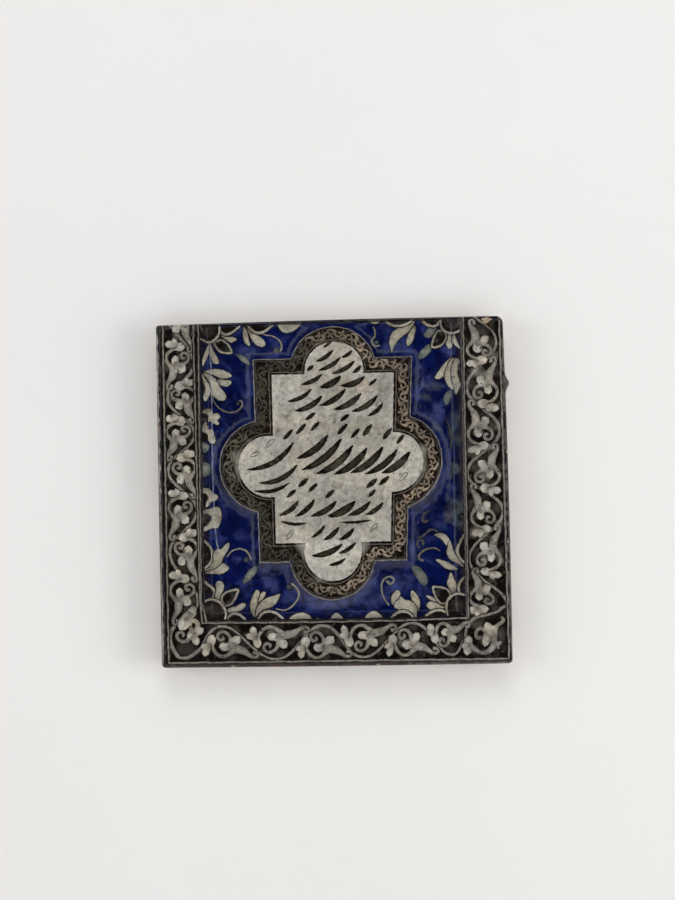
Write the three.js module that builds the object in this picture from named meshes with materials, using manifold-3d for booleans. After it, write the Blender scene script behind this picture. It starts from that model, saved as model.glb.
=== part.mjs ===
// Moulded and glazed wall tile with a lobed cartouche, standing upright as on its wall.
// Millimetres, +Z up. The back is flat on the plane y = 0 and the face looks towards -Y.
// The origin is the centre of the back. A border runs along the left, the foot and the right.
// The pattern is cut off by the top edge, so there is no border there.

import * as THREE from 'three';
import { mergeVertices } from 'three/addons/utils/BufferGeometryUtils.js';
import Module from 'manifold-3d';

// Driving dimensions of the slab: half sizes at the middle of each side and how far each side leans.
const THICKNESS = 20;
const HALF_WIDTH = 101.4;
const HALF_HEIGHT = 100.3;
const SIDE_LEAN = { left: -0.2, right: 0.95, foot: -0.7, head: 0.85 };
const CORNER_RADIUS = { footLeft: 2.2, footRight: 2.6, headRight: 4.2, headLeft: 1.8 };
const CORNER_STEPS = 5;

// The sides draw in towards the back, and the front edge is rounded over.
const BACK_DRAW_IN = 1.8;
const WAIST_DRAW_IN = 0.5;
const WAIST_HEIGHT = 9;
const SHOULDER_HEIGHT = 14.6;
const ARRIS_WIDTH = 2.6;
const ARRIS_DEPTH = 2.4;
const ARRIS_STEPS = 4;

// Lump of fired clay and glaze stuck to the right edge: how high up it sits, how far out and how long.
const LUMP_LEVEL = 62;
const LUMP_REACH = 2.7;
const LUMP_HALF_LENGTH = 7.4;
const LUMP_SHARPNESS = 2.3;
const LUMP_STEPS = 10;
const LUMP_SHARE_AT_WAIST = 0.25;
const LUMP_LOSS_ON_ARRIS = 0.25;

// Sunk field inside the three-sided border.
const BORDER_INNER = { left: -76.4, right: 77, foot: -73.8 };
const BORDER_FOOT_LEAN = -1.2;
const FIELD_FLOOR = 17.4;
const BEVEL_WIDTH = 5.6;
const BEVEL_HOLLOW = 1.6;
const BEVEL_STEPS = 4;
const PAST_HEAD = 12;

// What the rounded head edge takes off: distance in from the edge, then height. The last two close it above.
const HEAD_ARRIS = [[9, 22], [4.6, 18.4], [2.2, 17.3], [0.6, 16.7], [0, 15.7], [-3, 14.2], [-3, 24], [9, 24]];

// How far cutting shapes reach above the face, and how far the mound is rooted below the field.
const ABOVE_ALL = 26;
const SUNK_ROOT = 4;

// Cartouche: an upright oblong with a round lobe on each side, given at its outer and inner edge.
const OBLONG = {
  left: [-44.2, -34.3],
  right: [44.4, 34.8],
  foot: [-39.5, -28.7],
  head: [78.3, 69.5],
};
const LOBES = {
  head: { centre: [[0.3, 73], [1, 71.4]], radius: [23.6, 16.6], toward: 90 },
  left: { centre: [[-39, 16.2], [-36.8, 16.2]], radius: [26.6, 18], toward: 180 },
  foot: { centre: [[-0.3, -36.2], [0.1, -33.8]], radius: [25.7, 17.4], toward: 270 },
  right: { centre: [[36, 17.4], [35.4, 17.4]], radius: [27.5, 17.5], toward: 0 },
};
const LOBE_STEPS = 18;
const CARTOUCHE_MIDDLE = 19.4;
const CARTOUCHE_TAPER = 0.00065;
const CARTOUCHE_SHEAR = 0.0153;

// Section across the cartouche: t is 0 at its outer edge and 1 at its inner edge, then the height.
const CARTOUCHE_SECTION = [
  [-0.95, 17.1],
  [-0.72, 17.46],
  [-0.5, 17.62],
  [-0.3, 17.92],
  [-0.12, 18.36],
  [0, 18.75],
  [0.18, 19.3],
  [0.45, 19.78],
  [0.75, 19.95],
  [1, 19.9],
  [1.1, 19.62],
  [1.28, 19.42],
];

const { lerp, degToRad } = THREE.MathUtils;

// Corners of the slab with every side moved in by inset, where two leaning sides cross.
function slabCorner(side, level, inset) {
  const across = side === 'right' ? HALF_WIDTH - inset : -(HALF_WIDTH - inset);
  const up = level === 'head' ? HALF_HEIGHT - inset : -(HALF_HEIGHT - inset);
  const x = across - SIDE_LEAN[side] * up / HALF_HEIGHT;
  const z = up + SIDE_LEAN[level] * across / HALF_WIDTH;
  return new THREE.Vector2(x, z);
}

// Round the corner at b between a and c.
function roundCorner(a, b, c, radius, steps) {
  const towardA = a.clone().sub(b).normalize();
  const towardC = c.clone().sub(b).normalize();
  const halfAngle = Math.acos(towardA.dot(towardC)) / 2;
  const reach = radius / Math.tan(halfAngle);
  const middle = towardA.clone().add(towardC).normalize().multiplyScalar(radius / Math.sin(halfAngle)).add(b);
  const from = towardA.multiplyScalar(reach).add(b).sub(middle).angle();
  const to = towardC.multiplyScalar(reach).add(b).sub(middle).angle();
  const turn = THREE.MathUtils.euclideanModulo(to - from + Math.PI, 2 * Math.PI) - Math.PI;
  const points = [];
  for (let i = 0; i <= steps; i += 1) {
    const angle = from + turn * i / steps;
    points.push(new THREE.Vector2(Math.cos(angle), Math.sin(angle)).multiplyScalar(radius).add(middle));
  }
  return points;
}

// Outline of the slab, moved in by inset, with the lump standing out by its share on the right edge.
function slabRing(inset, height, lumpShare) {
  const corners = {
    footLeft: slabCorner('left', 'foot', inset),
    footRight: slabCorner('right', 'foot', inset),
    headRight: slabCorner('right', 'head', inset),
    headLeft: slabCorner('left', 'head', inset),
  };
  const names = Object.keys(corners);
  const points = [];
  names.forEach((name, i) => {
    const before = corners[names[(i + 3) % 4]];
    const after = corners[names[(i + 1) % 4]];
    const radius = Math.max(CORNER_RADIUS[name] - inset, 0.3);
    points.push(...roundCorner(before, corners[name], after, radius, CORNER_STEPS));
    if (name === 'footRight') {
      for (let k = 0; k <= LUMP_STEPS; k += 1) {
        const along = 2 * k / LUMP_STEPS - 1;
        const z = LUMP_LEVEL + LUMP_HALF_LENGTH * along;
        const share = (z - corners.footRight.y) / (corners.headRight.y - corners.footRight.y);
        const onSide = lerp(corners.footRight.x, corners.headRight.x, share);
        const out = LUMP_REACH * lumpShare * Math.exp(-((LUMP_SHARPNESS * along) ** 2));
        points.push(new THREE.Vector2(onSide + out, z));
      }
    }
  });
  return points.map((p) => onFace(p.x, p.y, height));
}

// Cartouche outline at share t from its outer to its inner edge, counter-clockwise from the right lobe.
function cartoucheRing(t, height) {
  const side = (name) => lerp(OBLONG[name][0], OBLONG[name][1], t);
  const box = { left: side('left'), right: side('right'), foot: side('foot'), head: side('head') };
  const points = [];
  const order = ['right', 'head', 'left', 'foot'];
  const cornerAfter = {
    right: [box.right, box.head],
    head: [box.left, box.head],
    left: [box.left, box.foot],
    foot: [box.right, box.foot],
  };
  for (const name of order) {
    const lobe = LOBES[name];
    const centreX = lerp(lobe.centre[0][0], lobe.centre[1][0], t);
    const centreZ = lerp(lobe.centre[0][1], lobe.centre[1][1], t);
    const radius = lerp(lobe.radius[0], lobe.radius[1], t);
    const onX = name === 'right' || name === 'left';
    const beyondSide = Math.abs(box[name] - (onX ? centreX : centreZ));
    const inside = Math.abs(box[name]) > Math.abs(onX ? centreX : centreZ);
    const openAngle = Math.acos((inside ? beyondSide : -beyondSide) / radius);
    for (let i = 0; i <= LOBE_STEPS; i += 1) {
      const angle = degToRad(lobe.toward) - openAngle + 2 * openAngle * i / LOBE_STEPS;
      points.push([centreX + radius * Math.cos(angle), centreZ + radius * Math.sin(angle)]);
    }
    points.push(cornerAfter[name]);
  }
  return points.map(([x, z]) => {
    const above = z - CARTOUCHE_MIDDLE;
    return onFace(x * (1 + CARTOUCHE_TAPER * above) + CARTOUCHE_SHEAR * above, z, height);
  });
}

// Recess outline: straight sides and foot, left open past the head of the slab.
function recessRing(inset, height) {
  const pastHead = HALF_HEIGHT + PAST_HEAD;
  const left = BORDER_INNER.left + inset;
  const right = BORDER_INNER.right - inset;
  const foot = BORDER_INNER.foot + inset;
  return [
    onFace(left, foot - BORDER_FOOT_LEAN, height),
    onFace(right, foot + BORDER_FOOT_LEAN, height),
    onFace(right, pastHead, height),
    onFace(left, pastHead, height),
  ];
}

// Place of a point of the face: across, up, and height above the back.
const onFace = (x, z, height) => new THREE.Vector3(x, -height, z);

// Closed body through a row of rings with the same number of points, wound to face outwards.
// flatten drops the direction in which the rings follow each other, for the two end caps.
function loft(rings, flatten) {
  const count = rings[0].length;
  const geometry = new THREE.BufferGeometry().setFromPoints(rings.flat());
  const index = [];
  for (let r = 0; r + 1 < rings.length; r += 1) {
    for (let i = 0; i < count; i += 1) {
      const a = r * count + i;
      const b = r * count + (i + 1) % count;
      index.push(a, b, b + count, a, b + count, a + count);
    }
  }
  const last = (rings.length - 1) * count;
  for (const [a, b, c] of THREE.ShapeUtils.triangulateShape(rings[0].map(flatten), [])) {
    index.push(c, b, a);
  }
  for (const [a, b, c] of THREE.ShapeUtils.triangulateShape(rings.at(-1).map(flatten), [])) {
    index.push(last + a, last + b, last + c);
  }
  geometry.setIndex(index);
  return geometry;
}

const facePlan = (p) => new THREE.Vector2(p.x, p.z);
const sidePlan = (p) => new THREE.Vector2(p.z, -p.y);

const wasm = await Module();
wasm.setup();

function toSolid(geometry) {
  const merged = mergeVertices(geometry, 1e-4);
  const vertProperties = new Float32Array(merged.attributes.position.array);
  const triVerts = new Uint32Array(merged.index.array);
  return new wasm.Manifold(new wasm.Mesh({ numProp: 3, vertProperties, triVerts }));
}

function toGeometry(solid) {
  const { vertProperties, triVerts } = solid.getMesh();
  const geometry = new THREE.BufferGeometry();
  geometry.setAttribute('position', new THREE.BufferAttribute(vertProperties, 3));
  geometry.setIndex(new THREE.BufferAttribute(triVerts, 1));
  const faceted = geometry.toNonIndexed();
  faceted.computeVertexNormals();
  return faceted;
}

// Slab: drawn-in back, full waist, rounded front edge.
function slab() {
  const rings = [
    slabRing(BACK_DRAW_IN, 0, 0),
    slabRing(WAIST_DRAW_IN, WAIST_HEIGHT, LUMP_SHARE_AT_WAIST),
    slabRing(WAIST_DRAW_IN / 5, SHOULDER_HEIGHT, 1),
  ];
  for (let i = 0; i <= ARRIS_STEPS; i += 1) {
    const angle = degToRad(90 * i / ARRIS_STEPS);
    const inset = ARRIS_WIDTH * (1 - Math.cos(angle));
    const height = THICKNESS - ARRIS_DEPTH * (1 - Math.sin(angle));
    rings.push(slabRing(inset, height, 1 - LUMP_LOSS_ON_ARRIS * i / ARRIS_STEPS));
  }
  return toSolid(loft(rings, facePlan));
}

// Recess over the field, with a hollow bevel down from the border.
function recess() {
  const rings = [];
  for (let i = 0; i <= BEVEL_STEPS; i += 1) {
    const share = i / BEVEL_STEPS;
    const height = FIELD_FLOOR + (THICKNESS - FIELD_FLOOR) * share ** BEVEL_HOLLOW;
    rings.push(recessRing(BEVEL_WIDTH * (1 - share), height));
  }
  rings.push(recessRing(0, ABOVE_ALL));
  return toSolid(loft(rings, facePlan));
}

// Mound of the cartouche: cove, frame moulding and the slightly sunk panel.
function cartouche() {
  const rings = CARTOUCHE_SECTION.map(([t, height]) => cartoucheRing(t, height));
  rings.unshift(cartoucheRing(CARTOUCHE_SECTION[0][0], FIELD_FLOOR - SUNK_ROOT));
  return toSolid(loft(rings, facePlan));
}

// Rounded front edge along the head, where the sunk field runs out.
function headArris() {
  const ends = [BORDER_INNER.left + BEVEL_WIDTH / 2, BORDER_INNER.right - BEVEL_WIDTH / 2];
  const rings = ends.map((x) => {
    const head = HALF_HEIGHT + SIDE_LEAN.head * x / HALF_WIDTH;
    return HEAD_ARRIS.map(([inset, height]) => onFace(x, head - inset, height));
  });
  return toSolid(loft(rings, sidePlan));
}

const glaze = new THREE.MeshStandardMaterial({ color: 0x3a3a52, roughness: 0.15, metalness: 0 });

const tileSolid = slab().subtract(recess().subtract(cartouche())).subtract(headArris());
const reliefTile = new THREE.Mesh(toGeometry(tileSolid), glaze);
reliefTile.name = 'relief_tile';

const tile = new THREE.Group();
tile.add(reliefTile);

export default tile;
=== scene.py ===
"""Moulded and glazed wall tile: scroll border on three sides, cobalt field, lobed cartouche.

The face is drawn flat, in millimetres across and up, as a painter lays it out. Every painted shape
cuts the sheet and colours its vertices, and a node tree then presses the relief into the sheet.
The tile stands as on its wall: +Z up, face towards -Y, back on the plane y = 0.
"""

import math

import bpy
import numpy as np
from bpy.props import FloatProperty, FloatVectorProperty, IntProperty, PointerProperty
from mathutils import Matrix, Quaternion, Vector
from mathutils.geometry import delaunay_2d_cdt


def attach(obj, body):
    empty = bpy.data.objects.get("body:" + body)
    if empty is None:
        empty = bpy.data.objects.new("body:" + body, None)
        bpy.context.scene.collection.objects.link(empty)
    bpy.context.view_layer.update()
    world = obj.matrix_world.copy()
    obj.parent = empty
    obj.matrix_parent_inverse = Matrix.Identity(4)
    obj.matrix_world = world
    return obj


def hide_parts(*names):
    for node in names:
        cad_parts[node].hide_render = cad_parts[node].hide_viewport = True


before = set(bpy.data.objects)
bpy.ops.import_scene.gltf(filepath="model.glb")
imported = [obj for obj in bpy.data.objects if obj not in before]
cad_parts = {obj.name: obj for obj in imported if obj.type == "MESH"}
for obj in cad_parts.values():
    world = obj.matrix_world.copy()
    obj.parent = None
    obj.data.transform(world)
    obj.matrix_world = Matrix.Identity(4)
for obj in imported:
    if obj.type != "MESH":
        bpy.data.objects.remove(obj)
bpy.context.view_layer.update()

bl_info = {
    "name": "Moulded Cartouche Tile",
    "version": (1, 0, 0),
    "blender": (4, 5, 0),
    "location": "View3D > Sidebar > Tile",
    "description": "Builds a moulded, underglaze-painted wall tile with a lobed cartouche, and its studio",
    "category": "Add Mesh",
}

MM = 0.001

# Slab: half sizes at the middle of each side, how far each side leans, and its rounded corners.
HALF_WIDTH = 101.4
HALF_HEIGHT = 100.3
SIDE_LEAN = {"left": -0.2, "right": 0.95, "foot": -0.7, "head": 0.85}
CORNER_RADIUS = {"footLeft": 2.2, "footRight": 2.6, "headRight": 4.2, "headLeft": 1.8}

# Height above the back, draw-in of the sides, and how much of the lump shows at that height.
WALL_SECTION = [
    (14.6, 0.1, 1.0), (12.0, 0.26, 0.66), (9.0, 0.5, 0.25), (6.0, 0.9, 0.15), (3.0, 1.33, 0.07),
    (0.8, 1.65, 0.02), (0.0, 2.3, 0.0),
]

# Outward swell of each edge of the slab at its middle, as a pressed slab has.
EDGE_SWELL = {"foot": 0.29, "right": 0.7, "head": 0.52, "left": 0.12}

# Lump of fired clay and glaze stuck to the right edge.
LUMP_LEVEL = 62.0
LUMP_REACH = 2.35
LUMP_HALF_LENGTH = 7.4
LUMP_SHARPNESS = 2.3

# Inner line of the border, which is the lip of the sunk field.
BORDER_INNER = {"left": -76.4, "right": 77.0, "foot": -73.8}
BORDER_FOOT_LEAN = -0.5
RIGHT_BEVEL_SHARE = 0.68

# How far lines that run off the tile go on past its head edge.
PAST_HEAD = 6.0

# Slope from the border down to the field: share of its width, then share of its height that is left.
BEVEL_SECTION = [
    (0.0, 1.0), (0.14, 0.91), (0.42, 0.553), (0.7, 0.19), (0.79, 0.1), (0.86, 0.045), (0.93, 0.012),
    (1.0, 0.0),
]

# Cartouche: an upright oblong with a round lobe on each side, given at its outer and inner edge.
OBLONG = {"left": (-44.2, -34.3), "right": (44.4, 34.8), "foot": (-39.5, -28.7), "head": (78.3, 69.5)}
LOBES = {
    "right": {"centre": ((36.0, 17.4), (35.4, 17.4)), "radius": (27.5, 17.5), "toward": 0},
    "head": {"centre": ((0.3, 73.0), (1.0, 71.4)), "radius": (23.6, 16.6), "toward": 90},
    "left": {"centre": ((-39.0, 16.2), (-36.8, 16.2)), "radius": (26.6, 18.0), "toward": 180},
    "foot": {"centre": ((-0.3, -36.2), (0.1, -33.8)), "radius": (25.7, 17.4), "toward": 270},
}
CARTOUCHE_MIDDLE = 19.4
CARTOUCHE_TAPER = 0.00065
CARTOUCHE_SHEAR = 0.0153

# Section across the cartouche: share from its outer to its inner edge, then height above the back.
CARTOUCHE_SECTION = [
    (-0.95, 17.1), (-0.72, 17.46), (-0.5, 17.62), (-0.3, 17.92), (-0.12, 18.46), (0.0, 19.12),
    (0.05, 19.52), (0.10, 19.72), (0.17, 19.81), (0.32, 19.84), (0.5, 19.88), (0.75, 19.94), (1.0, 19.9),
    (1.1, 19.62), (1.28, 19.42),
]

# Section down over the head edge where the field runs out: distance in from the edge, then height.
HEAD_SECTION = [(0.0, 15.7), (0.6, 16.7), (2.2, 17.3), (4.6, 18.4), (9.0, 22.0)]

# Share by which colours run into each other where painted shapes meet.
BLEED = 0.18

# Fineness of the sheet, in millimetres.
LINE_STEP = 1.28
GRID_STEP = 2.05
BACK_STEP = 4.0

# Up to so many pairs of a point and a segment are measured at once, and more in strips this high.
FEW_PAIRS = 60_000
STRIP_HEIGHT = 3.0

# Distance in from the outer edge and from the back's edge that the relief still asks for.
EDGE_REACH = 20.0
BACK_REACH = 3.0

# Depths below the face between which the brown glaze on the sides turns dark.
BROWN_DEPTH, DARK_DEPTH = 7.0, 15.0

# Kinds of face: on the painted face, on a side, and on the back.
ON_FACE, ON_SIDE, ON_BACK = 0, 1, 2


def smooth_line(points, closed=False, step=LINE_STEP, pull=1.0):
    """Smooth line through a few points; further columns, such as a half width, run along with it."""
    given = np.asarray(points, float)
    count = len(given)
    spans = count if closed else count - 1
    runs = []
    for i in range(spans):
        b, c = given[i], given[(i + 1) % count]
        a = given[i - 1] if closed or i > 0 else 2 * b - c
        d = given[(i + 2) % count] if closed or i + 2 < count else 2 * c - b
        leave, arrive = (c - a) * 0.5 * pull, (d - b) * 0.5 * pull
        steps = max(2, math.ceil(np.linalg.norm((c - b)[:2]) / step))
        u = (np.arange(steps) / steps)[:, None]
        near = (2 * u**3 - 3 * u**2 + 1) * b + (u**3 - 2 * u**2 + u) * leave
        runs.append(near + (3 * u**2 - 2 * u**3) * c + (u**3 - u**2) * arrive)
    if not closed:
        runs.append(given[-1:])
    return np.vstack(runs)


def straight_line(points, closed=False, step=LINE_STEP):
    """Straight runs between a few points, cut into short steps."""
    given = np.asarray(points, float)
    ends = np.vstack([given, given[:1]]) if closed else given
    runs = []
    for b, c in zip(ends[:-1], ends[1:]):
        steps = max(1, math.ceil(np.linalg.norm((c - b)[:2]) / step))
        runs.append(b + (c - b) * (np.arange(steps) / steps)[:, None])
    if not closed:
        runs.append(given[-1:])
    return np.vstack(runs)


def side_normals(path, closed):
    """Unit vectors to the left of the path at each of its points."""
    if closed:
        ahead = np.roll(path, -1, 0) - np.roll(path, 1, 0)
    else:
        ahead = np.gradient(path, axis=0)
    length = np.maximum(np.linalg.norm(ahead, axis=1), 1e-9)[:, None]
    return np.column_stack([-ahead[:, 1], ahead[:, 0]]) / length


def signed_area(loop):
    """Area inside the loop, negative if it runs clockwise."""
    x, z = loop[:, 0], loop[:, 1]
    return 0.5 * np.sum(x * np.roll(z, -1) - np.roll(x, -1) * z)


def grown(loop, distance):
    """The loop with its points moved outwards by a distance, or inwards if it is negative."""
    outwards = -side_normals(loop, True) * (1 if signed_area(loop) > 0 else -1)
    return loop + outwards * distance


def brush_stroke(points):
    """Outline of a brush stroke through points that hold across, up and half width."""
    line = smooth_line(points)
    path, half = line[:, :2], np.maximum(line[:, 2:3], 0.03)
    left = side_normals(path, False)
    forward = np.column_stack([left[:, 1], -left[:, 0]])
    end = path[-1:] + forward[-1:] * half[-1:] * 0.9
    start = path[:1] - forward[:1] * half[:1] * 0.9
    return np.vstack([path + left * half, end, (path - left * half)[::-1], start])


def petal(base, tip, width, bend=0.0, belly=0.58, blunt=0.75, foot=0.35):
    """Outline of a petal: bend curves it to its left, belly says where it is widest."""
    base, tip = np.asarray(base, float), np.asarray(tip, float)
    along = tip - base
    length = np.linalg.norm(along)
    left = np.array([-along[1], along[0]]) / length
    u = np.linspace(0, 1, max(6, math.ceil(length / LINE_STEP)))
    rise = np.where(u < belly, foot + (1 - foot) * np.sin(0.5 * np.pi * u / belly), 1.0)
    fall = np.sqrt(np.maximum(1 - np.maximum((u - belly) / (1 - belly), 0) ** (2 * blunt + 0.6), 0))
    half = 0.5 * width * rise * fall
    spine = base + along * u[:, None] + left * (bend * 4 * u * (1 - u))[:, None]
    edge = spine + left * half[:, None]
    other = spine - left * half[:, None]
    return np.vstack([edge, other[-2::-1]])


def ellipse(centre, radius_across, radius_up, turn=0.0, step=LINE_STEP):
    count = max(8, math.ceil(math.pi * (radius_across + radius_up) / step))
    angle = np.linspace(0, 2 * np.pi, count, endpoint=False)
    x, z = radius_across * np.cos(angle), radius_up * np.sin(angle)
    cos, sin = math.cos(math.radians(turn)), math.sin(math.radians(turn))
    return np.column_stack([centre[0] + x * cos - z * sin, centre[1] + x * sin + z * cos])


def hand_drift(points, amount):
    """Slow drift of a drawn line, as a steady hand leaves it."""
    x, z = points[:, 0], points[:, 1]
    across = np.sin(0.31 * x + 0.47 * z) + 0.6 * np.sin(0.83 * z - 0.29 * x + 1.3)
    up = np.sin(0.43 * x - 0.27 * z + 2.1) + 0.6 * np.sin(0.71 * x + 0.39 * z)
    return points + amount * np.column_stack([across, up])


def uneven(points, amount=0.09):
    """Small unevenness of a painted edge, the same wherever two shapes share a place."""
    x, z = points[:, 0], points[:, 1]
    across = np.sin(2.3 * x + 1.1 * z) + np.sin(1.4 * z - 2.9 * x + 0.7) + np.sin(3.7 * z + 0.8 * x)
    up = np.sin(2.6 * z - 0.9 * x + 1.9) + np.sin(1.8 * x + 2.2 * z) + np.sin(3.9 * x - 1.2 * z + 0.4)
    return points + amount * np.column_stack([across, up]) * 0.8


def loop_segments(loops):
    """Starts and ends of all the segments of the loops."""
    starts = np.vstack(loops)
    ends = np.vstack([np.roll(loop, -1, 0) for loop in loops])
    return starts, ends


def in_strips(points, starts, ends, reach):
    """Point numbers and segments, strip by strip up the face, so that only near ones meet."""
    low = np.minimum(starts[:, 1], ends[:, 1]) - reach
    high = np.maximum(starts[:, 1], ends[:, 1]) + reach
    if len(points) * len(starts) < FEW_PAIRS:
        yield np.arange(len(points)), starts, ends
        return
    strip = np.floor(points[:, 1] / STRIP_HEIGHT).astype(int)
    order = np.argsort(strip, kind="stable")
    breaks = np.flatnonzero(np.diff(strip[order])) + 1
    for numbers in np.split(order, breaks):
        bottom = strip[numbers[0]] * STRIP_HEIGHT
        near = (high >= bottom) & (low <= bottom + STRIP_HEIGHT)
        yield numbers, starts[near], ends[near]


def within(points, loops):
    """True for the points inside the loops, by the even-odd rule."""
    result = np.zeros(len(points), bool)
    for numbers, starts, ends in in_strips(points, *loop_segments(loops), 0.0):
        x, z = points[numbers, 0][:, None], points[numbers, 1][:, None]
        rise = ends[:, 1] - starts[:, 1]
        rise = np.where(np.abs(rise) < 1e-12, 1e-12, rise)
        spans = (starts[:, 1] > z) != (ends[:, 1] > z)
        meets = spans & (x < (ends[:, 0] - starts[:, 0]) * (z - starts[:, 1]) / rise + starts[:, 0])
        result[numbers] = np.count_nonzero(meets, axis=1) % 2 == 1
    return result


def depth_inside(points, loops, reach):
    """Distance inside the loops, negative outside them, no more than reach either way."""
    gap = np.full(len(points), reach)
    for numbers, starts, ends in in_strips(points, *loop_segments(loops), reach):
        if not len(starts):
            continue
        run = ends - starts
        offset = points[numbers][:, None, :] - starts
        length = np.maximum(np.sum(run**2, axis=1), 1e-12)
        u = np.clip(np.sum(offset * run, axis=2) / length, 0, 1)
        nearest = np.linalg.norm(offset - run * u[..., None], axis=2).min(axis=1)
        gap[numbers] = np.minimum(gap[numbers], nearest)
    return np.where(within(points, loops), gap, -gap)


def slab_corner(side, level, inset, level_inset=None):
    """Corner of the slab, moved in from its side and its level edge."""
    level_inset = inset if level_inset is None else level_inset
    across = (HALF_WIDTH - inset) * (1 if side == "right" else -1)
    up = (HALF_HEIGHT - level_inset) * (1 if level == "head" else -1)
    x = across - SIDE_LEAN[side] * up / HALF_HEIGHT
    z = up + SIDE_LEAN[level] * across / HALF_WIDTH
    return np.array([x, z])


def rounded_corner(a, b, c, radius, steps=7):
    """Arc of the given radius that rounds the corner b between a and c."""
    toward_a = (a - b) / np.linalg.norm(a - b)
    toward_c = (c - b) / np.linalg.norm(c - b)
    half_angle = math.acos(float(toward_a @ toward_c)) / 2
    reach = radius / math.tan(half_angle)
    middle = b + (toward_a + toward_c) / np.linalg.norm(toward_a + toward_c) * radius / math.sin(half_angle)
    first = b + toward_a * reach - middle
    last = b + toward_c * reach - middle
    start = math.atan2(first[1], first[0])
    turn = (math.atan2(last[1], last[0]) - start + math.pi) % (2 * math.pi) - math.pi
    angle = start + turn * np.linspace(0, 1, steps + 1)
    return middle + radius * np.column_stack([np.cos(angle), np.sin(angle)])


def slab_loop(inset, lump_share, per_side=110):
    """Outline of the slab moved in by inset, with the lump; every such loop has the same points."""
    names = [("left", "foot"), ("right", "foot"), ("right", "head"), ("left", "head")]
    corners = [slab_corner(side, level, inset) for side, level in names]
    arcs = []
    for i, (side, level) in enumerate(names):
        radius = max(CORNER_RADIUS[level + side.capitalize()] - inset, 0.3)
        arcs.append(rounded_corner(corners[i - 1], corners[i], corners[(i + 1) % 4], radius))
    points = []
    for i, arc in enumerate(arcs):
        start, end = arc[-1], arcs[(i + 1) % 4][0]
        u = (np.arange(1, per_side) / per_side)[:, None]
        run = start + (end - start) * u
        outward = np.array([end[1] - start[1], start[0] - end[0]]) / np.linalg.norm(end - start)
        run = run + outward * EDGE_SWELL[("foot", "right", "head", "left")[i]] * np.sin(np.pi * u)
        if i == 1:
            along = (run[:, 1] - LUMP_LEVEL) / LUMP_HALF_LENGTH
            run[:, 0] += LUMP_REACH * lump_share * np.exp(-((LUMP_SHARPNESS * along) ** 2))
        points += [arc, run]
    return np.vstack(points)


def level_cartouche(points):
    """Takes the cartouche's slight taper and shear out of points, so that its sides stand square."""
    above = points[:, 1] - CARTOUCHE_MIDDLE
    x = (points[:, 0] - CARTOUCHE_SHEAR * above) / (1 + CARTOUCHE_TAPER * above)
    return np.column_stack([x, points[:, 1]])


def cartouche_share(points):
    """Share across the cartouche's moulding: 0 on its outer edge, 1 on its inner edge."""
    x, z = level_cartouche(points).T
    share = np.full(len(points), np.inf)
    for side, (outer, inner) in OBLONG.items():
        place = x if side in ("left", "right") else z
        share = np.minimum(share, (place - outer) / (inner - outer))
    for lobe in LOBES.values():
        (x0, z0), (x1, z1) = lobe["centre"]
        r0, r1 = lobe["radius"]
        dx, dz, dr = x1 - x0, z1 - z0, r1 - r0
        a = dx * dx + dz * dz - dr * dr
        b = (x - x0) * dx + (z - z0) * dz + r0 * dr
        c = (x - x0) ** 2 + (z - z0) ** 2 - r0 * r0
        share = np.maximum(share, (b + np.sqrt(np.maximum(b * b - a * c, 0))) / a)
    return share


def cartouche_loop(share, step=LINE_STEP):
    """Outline of the cartouche at a share across its moulding, counter-clockwise."""
    at = {side: outer + (inner - outer) * share for side, (outer, inner) in OBLONG.items()}
    corners_after = (("right", "head"), ("left", "head"), ("left", "foot"), ("right", "foot"))
    points = []
    for (name, lobe), (side, level) in zip(LOBES.items(), corners_after):
        centre = np.array(lobe["centre"][0]) * (1 - share) + np.array(lobe["centre"][1]) * share
        radius = lobe["radius"][0] * (1 - share) + lobe["radius"][1] * share
        reach = centre[0] if name in ("left", "right") else centre[1]
        beyond = (at[name] - reach) * (1 if name in ("right", "head") else -1)
        opening = math.acos(beyond / radius)
        middle = math.radians(lobe["toward"])
        count = math.ceil(2 * opening * radius / step)
        angle = middle + opening * np.linspace(-1, 1, count + 1)
        points.append(centre + radius * np.column_stack([np.cos(angle), np.sin(angle)]))
        points.append(np.array([[at[side], at[level]]]))
    square = straight_line(np.vstack(points), closed=True, step=step)
    above = square[:, 1] - CARTOUCHE_MIDDLE
    x = square[:, 0] * (1 + CARTOUCHE_TAPER * above) + CARTOUCHE_SHEAR * above
    return np.column_stack([x, square[:, 1]])


def recess_depth(points):
    """Distance inside the lip of the sunk field, shortened where the slope is wider."""
    x, z = points.T
    along = (x - BORDER_INNER["left"]) / (BORDER_INNER["right"] - BORDER_INNER["left"])
    foot = BORDER_INNER["foot"] - BORDER_FOOT_LEAN * (1 - 2 * along)
    right = (BORDER_INNER["right"] - x) * RIGHT_BEVEL_SHARE
    return np.minimum(np.minimum(x - BORDER_INNER["left"], right), z - foot)


def recess_line(inset):
    """The lip of the sunk field moved in by inset, as an open line from head to foot to head."""
    left = BORDER_INNER["left"] + inset
    right = BORDER_INNER["right"] - inset / RIGHT_BEVEL_SHARE
    foot = BORDER_INNER["foot"] + inset
    top = HALF_HEIGHT + PAST_HEAD
    corners = [(left, top), (left, foot - BORDER_FOOT_LEAN), (right, foot + BORDER_FOOT_LEAN), (right, top)]
    return straight_line(corners, step=1.4)


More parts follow.
